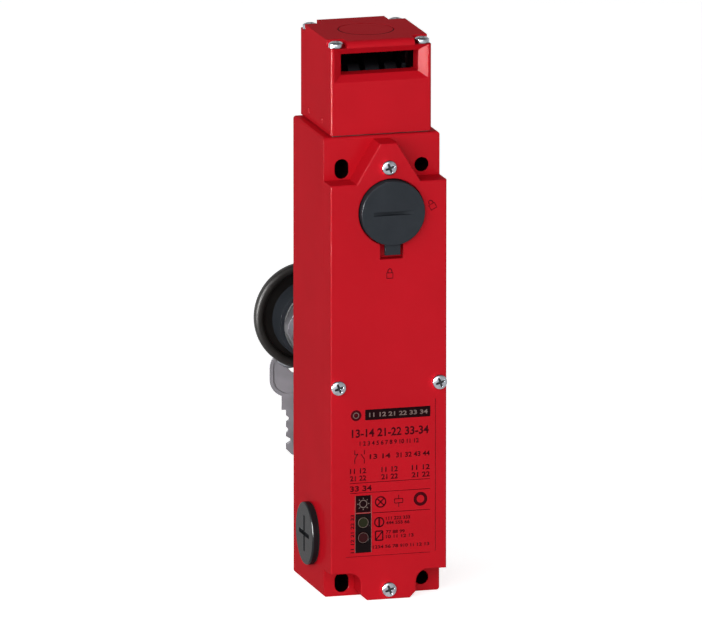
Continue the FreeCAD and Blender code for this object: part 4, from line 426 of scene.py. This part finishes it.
def screw_surface(head_r, head_h, shank_r, length, arm, deep):
    """Pan-head screw with a cross recess, its seat at z 0 and its head towards +z.

    A profile of radius and height is turned about z. Over the head the height is
    h(1 - 0.32 (r/R)^4), less a recess whose depth falls from the middle as the root of
    1 - (r/arm)^2 inside a cross whose arms narrow outwards. Driven home, the cross stands
    20 degrees from upright. The third result marks the faces that lie in the recess.
    """
    turns, set_over = 96, radians(20)
    r_top = np.linspace(0, head_r * 0.97, 44)
    z_top = head_h * (1 - 0.32 * (r_top / head_r) ** 4)
    rest = np.array([(1.0, 0.60), (1.0, 0.35), (1.0, 0.08), (0.99, 0.0)]) * (head_r, head_h)
    tip = 0.4
    shank = np.array([(shank_r, 0.0), (shank_r, -length + tip), (shank_r - tip, -length),
                      (0.0, -length)])
    r = np.concatenate([r_top, rest[:, 0], shank[:, 0]])
    z = np.concatenate([z_top, rest[:, 1], shank[:, 1]])
    angle = np.linspace(0, 2 * pi, turns, endpoint=False) + set_over
    x, y = np.outer(r, np.cos(angle)), np.outer(r, np.sin(angle))
    near = np.minimum(np.abs(np.outer(r, np.cos(angle - set_over))),
                      np.abs(np.outer(r, np.sin(angle - set_over))))
    half_arm, narrowing, wall = 0.46, 0.10, 0.10
    within_arm = np.clip((half_arm - narrowing * r[:, None] - near) / wall + 0.5, 0, 1)
    cross = within_arm * np.clip(1 - (r[:, None] / arm) ** 2, 0, 1) ** 0.5
    on_top = (np.arange(len(r)) < len(r_top))[:, None]
    height = z[:, None] - deep * cross * on_top
    faces = grid_faces(len(r), turns)
    sunk = (cross * on_top).ravel()[faces].mean(1) > 0.3
    return np.stack([x, y, height], -1).reshape(-1, 3), faces, sunk


def shade_recess(piece, sunk, count):
    """Paints the recess's shade, a near-black second finish, on the sunk faces of each of count
    screws.
    """
    piece.data.materials.append(SCREW_RECESS_SHADE)
    piece.data.polygons.foreach_set("material_index", np.tile(sunk, count).astype(np.int32))
    return piece


def facing_front(points):
    """Turns a surface that looks along +z to look along -y."""
    return np.stack([points[:, 0], -points[:, 2], points[:, 1]], -1)


def ribbon(path, width, closed=False):
    """Flat bar of ink along a path of (x, z) points.

    A rectangle, width wide and INK proud of the cover, is carried along the path. At each point
    it stands square to the mean direction of the runs that meet there.
    """
    path = np.asarray(path, float)
    if closed:
        run = np.roll(path, -1, 0) - np.roll(path, 1, 0)
    else:
        run = np.gradient(path, axis=0)
    side = np.stack([-run[:, 1], run[:, 0]], -1) / np.linalg.norm(run, axis=1)[:, None]
    side = side * width / 2
    left, right = path + side, path - side
    front, back = FACE_Y / MM - INK, FACE_Y / MM + INK
    section = [(left, front), (right, front), (right, back), (left, back)]
    corners = np.stack([np.insert(xz, 1, y, axis=1) for xz, y in section], 1)
    count = len(path)
    rows = np.vstack([corners, corners[:1]]) if closed else corners
    faces = grid_faces(len(rows), 4)
    if closed:
        return corners.reshape(-1, 3), faces % (count * 4)
    caps = np.array([[3, 2, 1, 0], np.arange(4) + (count - 1) * 4])
    return rows.reshape(-1, 3), np.vstack([faces, caps])


def ring_path(x, z, radius, steps=40):
    """Circle of points round (x, z)."""
    a = np.linspace(0, 2 * pi, steps, endpoint=False)
    return np.stack([x + radius * np.cos(a), z + radius * np.sin(a)], -1)


def joined(parts):
    """One surface from several: the faces are renumbered past the points before them."""
    points, faces, count = [], [], 0
    for p, f in parts:
        points.append(p)
        faces.append(np.asarray(f) + count)
        count += len(p)
    return np.vstack(points), np.vstack(faces)


def line(x0, z0, x1, z1, width=0.28):
    """Straight bar of ink."""
    return ribbon([(x0, z0), (x1, z1)], width)


def box_outline(x0, x1, z0, z1, width):
    """Four bars round a rectangle."""
    return [line(x0, z0, x1, z0, width), line(x0, z1, x1, z1, width),
            line(x0, z0, x0, z1, width), line(x1, z0, x1, z1, width)]


# ---- screws ---------------------------------------------------------------------------


def cover_screws():
    """Four screws in the cover: nose, foot and the two sides."""
    low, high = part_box("cover_screws")
    length = high.y / MM - FACE_Y / MM - SCREW_TIP_GAP
    points, faces, sunk = screw_surface(length=length, **COVER_SCREW)
    r = COVER_SCREW["head_r"]
    x_side = high.x / MM - r
    spots = [(0, high.z / MM - r), (0, low.z / MM + r)]
    spots += [(-x_side, SIDE_SCREW_Z), (x_side, SIDE_SCREW_Z)]
    places = [(x, FACE_Y / MM, z) for x, z in spots]
    made = piece_from("cross_recess_cover_screws", *several(facing_front(points), faces, places),
                      ZINC_PLATE, "switch_body")
    return shade_recess(made, sunk, len(places))


def head_screws():
    """Four screws at the turret's corners."""
    low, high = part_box("head_screws")
    r = HEAD_SCREW["head_r"]
    length = high.z / MM - low.z / MM - HEAD_SCREW_SEAT - SCREW_TIP_GAP
    points, faces, sunk = screw_surface(length=length, **HEAD_SCREW)
    seat = high.z / MM - HEAD_SCREW_SEAT
    places = [(x, y, seat) for y in (low.y / MM + r, high.y / MM - r)
              for x in (low.x / MM + r, high.x / MM - r)]
    made = piece_from("cross_recess_head_screws", *several(points, faces, places),
                      ZINC_PLATE, "switch_body")
    return shade_recess(made, sunk, len(places))


# ---- coiled springs, wound at rest ----------------------------------------------------


def coil(wire_r, turns, low, high):
    """Wire wound between the heights low[2] and high[2] of a box, which its turns fill sideways.

    The wire's centre is (r cos t, r sin t) and rises evenly with t; round it runs a circle of the
    wire's radius, which shrinks to a point at each end.
    """
    r = (high[0] - low[0]) / 2 - wire_r
    steps, sides = 32 * turns + 1, 12
    t = np.linspace(0, 2 * pi * turns, steps)
    a = np.linspace(0, 2 * pi, sides, endpoint=False)
    wire = np.full((steps, 1), wire_r)
    wire[[0, -1]] = 0
    reach = r + wire * np.cos(a)
    rise = low[2] + wire_r + (high[2] - low[2] - 2 * wire_r) * (t / t[-1])[:, None]
    rise = rise + wire * np.sin(a)
    points = np.stack([reach * np.cos(t)[:, None], reach * np.sin(t)[:, None], rise], -1)
    return points.reshape(-1, 3), grid_faces(steps, sides)


def armature_coil():
    """Spring under the solenoid, wound at rest; on the switch its foot rises with the armature and
    its top stays.
    """
    low, high = (np.array(v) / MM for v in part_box("armature_spring"))
    points, faces = coil(ARMATURE_WIRE_R, ARMATURE_TURNS, low, high)
    points[:, 1] += (low[1] + high[1]) / 2
    made = piece_from("armature_return_coil", points, faces, SPRING_WIRE, "switch_body")
    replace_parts(made, "armature_spring")
    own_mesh(made)


def button_coil():
    """Spring behind the mushroom, wound at rest; on the switch its far end goes in with the rod's
    collar and its foot stays.
    """
    low, high = (np.array(v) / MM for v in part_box("button_spring"))
    lying = [0, 2, 1]
    points, faces = coil(BUTTON_WIRE_R, BUTTON_TURNS, low[lying], high[lying])
    made = piece_from("button_return_coil", points[:, lying], faces, SPRING_WIRE, "switch_body")
    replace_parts(made, "button_spring")
    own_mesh(made)


# ---- printing on the cover ------------------------------------------------------------
DIGIT_SHARE = 0.73            # a numeral's height as a share of its font's size
BOLDNESS = 0.035              # growth of a numeral's outline as a share of its height
GAP_SHARE = 0.35              # half the gap between a symbol's leads, over half its size
BLADE = 0.3                   # width of a contact symbol's lines


def numbers(name, rows, material, turned=False, proud=0.0):
    """Plain numerals as thin solids on the cover: rows of (text, left, right, base z, height).

    The numerals' outlines are drawn bold, and each row is stretched to run from left to right.
    turned rows read upwards: left and right are then heights, and the base is an x. proud lifts
    them off the field that they stand on.
    """
    made = []
    for k, (text, left, right, base, height) in enumerate(rows):
        curve = bpy.data.curves.new(f"{name}_{k}", "FONT")
        curve.body, curve.size = text, height / DIGIT_SHARE * MM
        curve.extrude, curve.offset = INK * MM, height * BOLDNESS * MM
        source = bpy.data.objects.new(f"{name}_{k}", curve)
        bpy.context.scene.collection.objects.link(source)
        bpy.context.view_layer.update()
        shown = source.evaluated_get(bpy.context.evaluated_depsgraph_get())
        mesh = bpy.data.meshes.new_from_object(shown)
        bpy.data.objects.remove(source)
        co = np.zeros(len(mesh.vertices) * 3)
        mesh.vertices.foreach_get("co", co)
        co = co.reshape(-1, 3) / MM
        run = left + (co[:, 0] - co[:, 0].min()) * (right - left) / np.ptp(co[:, 0])
        depth = FACE_Y / MM - co[:, 2] - proud
        placed = (base - co[:, 1], depth, run) if turned else (run, depth, base + co[:, 1])
        made.append((np.stack(placed, -1), [list(p.vertices) for p in mesh.polygons]))
    points = np.vstack([p for p, _ in made])
    shifts = np.cumsum([0] + [len(p) for p, _ in made[:-1]])
    faces = [[v + int(shift) for v in f] for (_, fs), shift in zip(made, shifts) for f in fs]
    return piece_from(name, points, faces, material, "switch_body", smooth=False)


def up(height):
    """Z of a height in millimetres above the case's foot."""
    return CASE_FOOT / MM + height


def leads(x, z, s, width):
    """Lower and upper lead of a symbol that reaches s below and above z."""
    gap = s * GAP_SHARE
    return [line(x, z - s, x, z - gap, width), line(x, z + gap, x, z + s, width)]


def break_contact(x, z, size):
    """Circuit symbol of a contact that opens: two leads, and a blade that rests on a short bar."""
    s = size / 2
    gap = s * GAP_SHARE
    blade = line(x, z - gap, x + s * 0.42, z + s * 0.5, BLADE)
    return leads(x, z, s, BLADE) + [blade, line(x, z + gap, x + s * 0.5, z + gap, BLADE)]


def make_contact(x, z, size):
    """Circuit symbol of a contact that closes: two leads, and a blade that stands open."""
    s = size / 2
    blade = line(x, z - s * GAP_SHARE, x - s * 0.5, z + s * 0.4, BLADE)
    return leads(x, z, s, BLADE) + [blade]


def coil_symbol(x, z, size):
    """Circuit symbol of a coil: a rectangle with a lead at each end."""
    s = size / 2
    gap = s * GAP_SHARE
    return box_outline(x - s * 0.7, x + s * 0.7, z - gap, z + gap, 0.28) + leads(x, z, s, 0.28)


def ring(x, z, radius, width):
    """Ring of ink round (x, z)."""
    return ribbon(ring_path(x, z, radius), width, True)


def plate_print():
    """Rules and circuit symbols of the printed plate."""
    left, right = PRINT_LEFT, PRINT_RIGHT
    margin = 17.5
    parts = [line(margin, up(17), margin, up(73.5), 0.16)]
    parts += [line(left, up(height), right, up(height), 0.2) for height in (43.9, 40.2)]
    parts += [line(-6.0, up(32.5), right, up(32.5), 0.22)]
    parts += [line(left - 1.6, up(16.6), right + 0.2, up(16.6), 0.14)]
    parts += break_contact(-12.8, up(53.6), 5.0) + make_contact(-9.2, up(53.6), 5.0)
    parts += [ring(-12.3, up(BAR_Z), 1.05, 1.9)]
    # A crossed ring, a coil and a thick ring in the first row.
    parts += [ring(-3.1, up(36.4), 1.9, 0.5), line(-4.4, up(35.1), -1.8, up(37.7), 0.45),
              line(-1.8, up(35.1), -4.4, up(37.7), 0.45)]
    parts += coil_symbol(3.7, up(36.4), 4.4) + [ring(11.9, up(36.6), 2.0, 1.15)]
    # A split ring and a slashed box in the two rows below.
    parts += [ring(-3.6, up(28.9), 1.7, 0.5), line(-3.6, up(27.2), -3.6, up(30.6), 0.7)]
    parts += box_outline(-5.0, -2.3, up(22.2), up(25.6), 0.5)
    parts += [line(-4.9, up(22.4), -2.4, up(25.4), 0.5)]
    return piece_from("plate_rules_and_symbols", *joined(parts), THIN_INK, "switch_body",
                      smooth=False)


def plate_bar():
    """Solid bar at the head of the plate and the dark square over the lamps."""
    parts = [line(-8.9, up(BAR_Z), 15.6, up(BAR_Z), 3.9), line(-9.6, up(32.9), -9.6, up(39.2), 5.6)]
    return piece_from("plate_solid_fields", *joined(parts), SOLID_INK, "switch_body", smooth=False)


def plate_numbers():
    """Terminal numbers of the printed plate, from its head down."""
    left, right = PRINT_LEFT, PRINT_RIGHT
    small = 1.2
    rows = [("13-14 21-22 33-34", -13.9, 15.0, up(60.9), 3.0)]
    rows += [("1 2 3 4 5 6 7 8 9 10 11 12", -11.0, 11.2, up(57.7), 1.6)]
    rows += [("13 14", -7.2, 0.6, up(52.6), 1.8), ("31 32 43 44", 2.7, right, up(52.6), 1.8)]
    columns = ((left, -8.5), (-2.8, 3.4), (8.6, right))
    for text, height in (("11 12", 47.5), ("21 22", 44.8)):
        rows += [(text, a, b, up(height), 1.9) for a, b in columns]
    rows += [("33 34", left, -6.4, up(40.9), 2.0)]
    for text, reach, height in (("111 222 333", 8.0, 29.6), ("444 555 66", 7.8, 27.9),
                                ("77 88 99", 6.0, 24.5), ("10 11 12 13", 9.3, 22.8)):
        rows += [(text, -1.1, reach, up(height), small)]
    rows += [("1234 56 78", -6.0, 3.5, up(19.2), small), ("910 11", 4.2, 9.4, up(19.2), small)]
    rows += [("12 13", 10.6, 15.2, up(19.2), small)]
    return numbers("plate_numbers", rows, THIN_INK)


def strip_numbers():
    """Lamp terminals' numbers, which read upwards beside the strip."""
    row = ("11 12 21 22 33", up(18.0), up(32.2), -13.1, 1.3)
    return numbers("strip_numbers", [row], THIN_INK, turned=True)


def bar_numbers():
    """Pale numbers on the dark bar."""
    row = ("11 12 21 22 33 34", -7.4, 14.6, up(68.2), 1.6)
    return numbers("bar_numbers", [row], PALE_INK, proud=INK)


def lamp_marks():
    """Pale lamp symbol on the dark square, lines beside both fields, a ring round each lens."""
    x = (LENSES[0].x + LENSES[1].x) / 2 / MM
    z0, z1 = LENSES[0].z / MM, LENSES[1].z / MM
    r = (LENSES[1].x - LENSES[0].x) / 2 / MM
    left, right = STRIP[0].x / MM - 0.12, STRIP[1].x / MM + 0.12
    fine, bold = 0.16, 0.3
    parts = [line(side, STRIP[0].z / MM, side, up(39.2), fine) for side in (left, right)]
    parts += [line(left, up(32.7), right, up(32.7), fine)]
    middle, rays = up(LAMP_SIGN_Z), 8
    parts += [ring(x, middle, 1.35, bold)]
    for k in range(rays):
        c, s = cos(k * 2 * pi / rays), sin(k * 2 * pi / rays)
        parts += [line(x + 1.75 * c, middle + 1.75 * s, x + 2.3 * c, middle + 2.3 * s, bold)]
    parts += [ring(x, z, r - 0.35, fine) for z in (z0 + r, z1 - r)]
    parts += [ring(-12.3, up(BAR_Z), 1.0, bold)]
    points, faces = joined(parts)
    points[:, 1] -= INK
    return piece_from("lamp_symbol_and_rings", points, faces, PALE_INK, "switch_body", smooth=False)


def padlock(x, z, tilt, swung):
    """Closed or swung-open padlock in outline: a square body under a half ring."""
    half, rise = 1.15, 1.1
    body = np.array([(-half, -1.1), (half, -1.1), (half, 0.9), (-half, 0.9)])
    a = np.linspace(0, pi, 14)
    shackle = np.stack([0.75 * np.cos(a), 1.3 + rise * np.sin(a)], -1)
    shackle = np.vstack([[(0.75, 0.9)], shackle, [(-0.75, 1.5 if swung else 0.9)]])
    c, s = cos(tilt), sin(tilt)
    turn = np.array([[c, s], [-s, c]])
    return [ribbon(body @ turn + (x, z), 0.32, True), ribbon(shackle @ turn + (x, z), 0.32)]


def padlock_signs():
    """Locked sign under the selector and released sign at its right."""
    x = (CAP[0].x + CAP[1].x) / 2 / MM
    top = CAP[1].z / MM
    parts = padlock(x - 0.65, top - 35.2, tilt=0.0, swung=False)
    parts += padlock(x + 15.4, top - 10.6, tilt=radians(28), swung=True)
    return piece_from("padlock_signs", *joined(parts), THIN_INK, "switch_body", smooth=False)


# ---- studio ---------------------------------------------------------------------------

AIM_FROM = Vector((0, -0.026, 0.00335))    # a point in the case's middle, in metres
CAMERA_TURN, CAMERA_RISE, CAMERA_AWAY = radians(15.8), radians(12.75), 7.044
AIM_LEFT, AIM_UP = 6.86, 16.5    # shift of the aim in the picture's plane, in millimetres
FIELD_WIDTH = 254.348            # millimetres across the picture at the aim
SENSOR_WIDTH = 36


def camera():
    """Long-lens camera in front of the switch, turned to its left and raised."""
    level = cos(CAMERA_RISE)
    back = Vector((-sin(CAMERA_TURN) * level, -cos(CAMERA_TURN) * level, sin(CAMERA_RISE)))
    right = Vector((cos(CAMERA_TURN), -sin(CAMERA_TURN), 0))
    aim = AIM_FROM - right * AIM_LEFT * MM + back.cross(right) * AIM_UP * MM
    data = bpy.data.cameras.new("camera")
    data.sensor_width = SENSOR_WIDTH
    data.lens = SENSOR_WIDTH * CAMERA_AWAY / MM / FIELD_WIDTH
    data.clip_end = 100
    made = bpy.data.objects.new("camera", data)
    bpy.context.scene.collection.objects.link(made)
    made.location = aim + back * CAMERA_AWAY
    made.rotation_mode = "QUATERNION"
    made.rotation_quaternion = (-back).to_track_quat("-Z", "Y")
    bpy.context.scene.camera = made


def softbox(name, place, width, height, watts, matt=True):
    """Rectangular lamp at place, in metres, that looks at the switch.

    With matt False it shows in gloss alone.
    """
    data = bpy.data.lights.new(name, "AREA")
    data.shape, data.energy = "RECTANGLE", watts
    data.size, data.size_y = width, height
    made = bpy.data.objects.new(name, data)
    bpy.context.scene.collection.objects.link(made)
    made.location = place
    made.rotation_mode = "QUATERNION"
    made.rotation_quaternion = (AIM_FROM - Vector(place)).to_track_quat("-Z", "Y")
    made.visible_diffuse = matt


def seen_or_mirrored(tree):
    """1 for rays from the camera, a mirror or a lens, 0 for light on the object."""
    path = add(tree, "ShaderNodeLightPath")
    first = value_of(tree, "MAXIMUM", (path, "Is Camera Ray"), (path, "Is Glossy Ray"))
    return value_of(tree, "MAXIMUM", first, (path, "Is Transmission Ray"))


def white_room(level, ceiling):
    """World that lights the object at level and is white where it is seen.

    Overhead it dims to the share ceiling.
    """
    world = bpy.data.worlds.new("white_room")
    world.use_nodes = True
    bpy.context.scene.world = world
    tree = world.node_tree
    glow = next(n for n in tree.nodes if n.type == "BACKGROUND")
    glow.inputs["Color"].default_value = (1, 1, 1, 1)
    coords = (add(tree, "ShaderNodeTexCoord"), "Generated")
    towards = add(tree, "ShaderNodeSeparateXYZ", links={0: coords})
    ramp = {"From Min": 0.3, "From Max": 0.9, "To Min": 1.0, "To Max": ceiling}
    shown = add(tree, "ShaderNodeMapRange", ramp, {"Value": (towards, "Z")})
    strength = add(tree, "ShaderNodeMapRange", {"To Min": level, "To Max": 1.0},
                   {"Value": seen_or_mirrored(tree)})
    dimmed, output = value_of(tree, "MULTIPLY", (strength, "Result"), (shown, "Result"))
    tree.links.new(dimmed.outputs[output], glow.inputs["Strength"])


def floor():
    """Pale floor that keeps the shadow: a matt white, lifted to white where it is seen."""
    reach, clearance, lifted_by = 6.0, 0.00005, 0.75
    corners = np.array([(-1, -1), (1, -1), (1, 1), (-1, 1)]) * reach
    mesh = bpy.data.meshes.new("floor")
    level = np.insert(corners, 2, CAD_BOX[0].z - clearance, axis=1)
    mesh.from_pydata(level.tolist(), [], [(0, 1, 2, 3)])
    made = bpy.data.objects.new("floor", mesh)
    bpy.context.scene.collection.objects.link(made)
    material = bpy.data.materials.new("pale_floor")
    material.use_nodes = True
    tree = material.node_tree
    surface = next(n for n in tree.nodes if n.type == "BSDF_PRINCIPLED")
    surface.inputs["Base Color"].default_value = linear("e6e6e6")
    surface.inputs["Roughness"].default_value = 0.9
    surface.inputs["Specular IOR Level"].default_value = 0.0
    surface.inputs["Emission Color"].default_value = (1, 1, 1, 1)
    lift = add(tree, "ShaderNodeMapRange", {"To Min": 0.0, "To Max": lifted_by},
               {"Value": seen_or_mirrored(tree)})
    tree.links.new(lift.outputs["Result"], surface.inputs["Emission Strength"])
    dress(made, material)


# ---- the switch and its studio --------------------------------------------------------

for material, names in NODE_FINISHES:
    for node in names.split():
        dress(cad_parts[node], material)

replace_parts(cover_screws(), "cover_screws")
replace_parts(head_screws(), "head_screws")
armature_coil()
button_coil()
for printing in (plate_print, plate_bar, plate_numbers, strip_numbers, bar_numbers, lamp_marks,
                 padlock_signs):
    printing()

bpy.context.scene.view_settings.view_transform = "Standard"
camera()
white_room(level=0.42, ceiling=0.15)
floor()
softbox("front_softbox", (-1.0, -2.26, 0.55), width=2.6, height=2.6, watts=66)
softbox("left_softbox", (-1.1, -0.24, 0.55), width=1.0, height=1.0, watts=4.0)
softbox("edge_card", (-0.82, -0.26, -0.05), width=0.5, height=0.9, watts=150, matt=False)
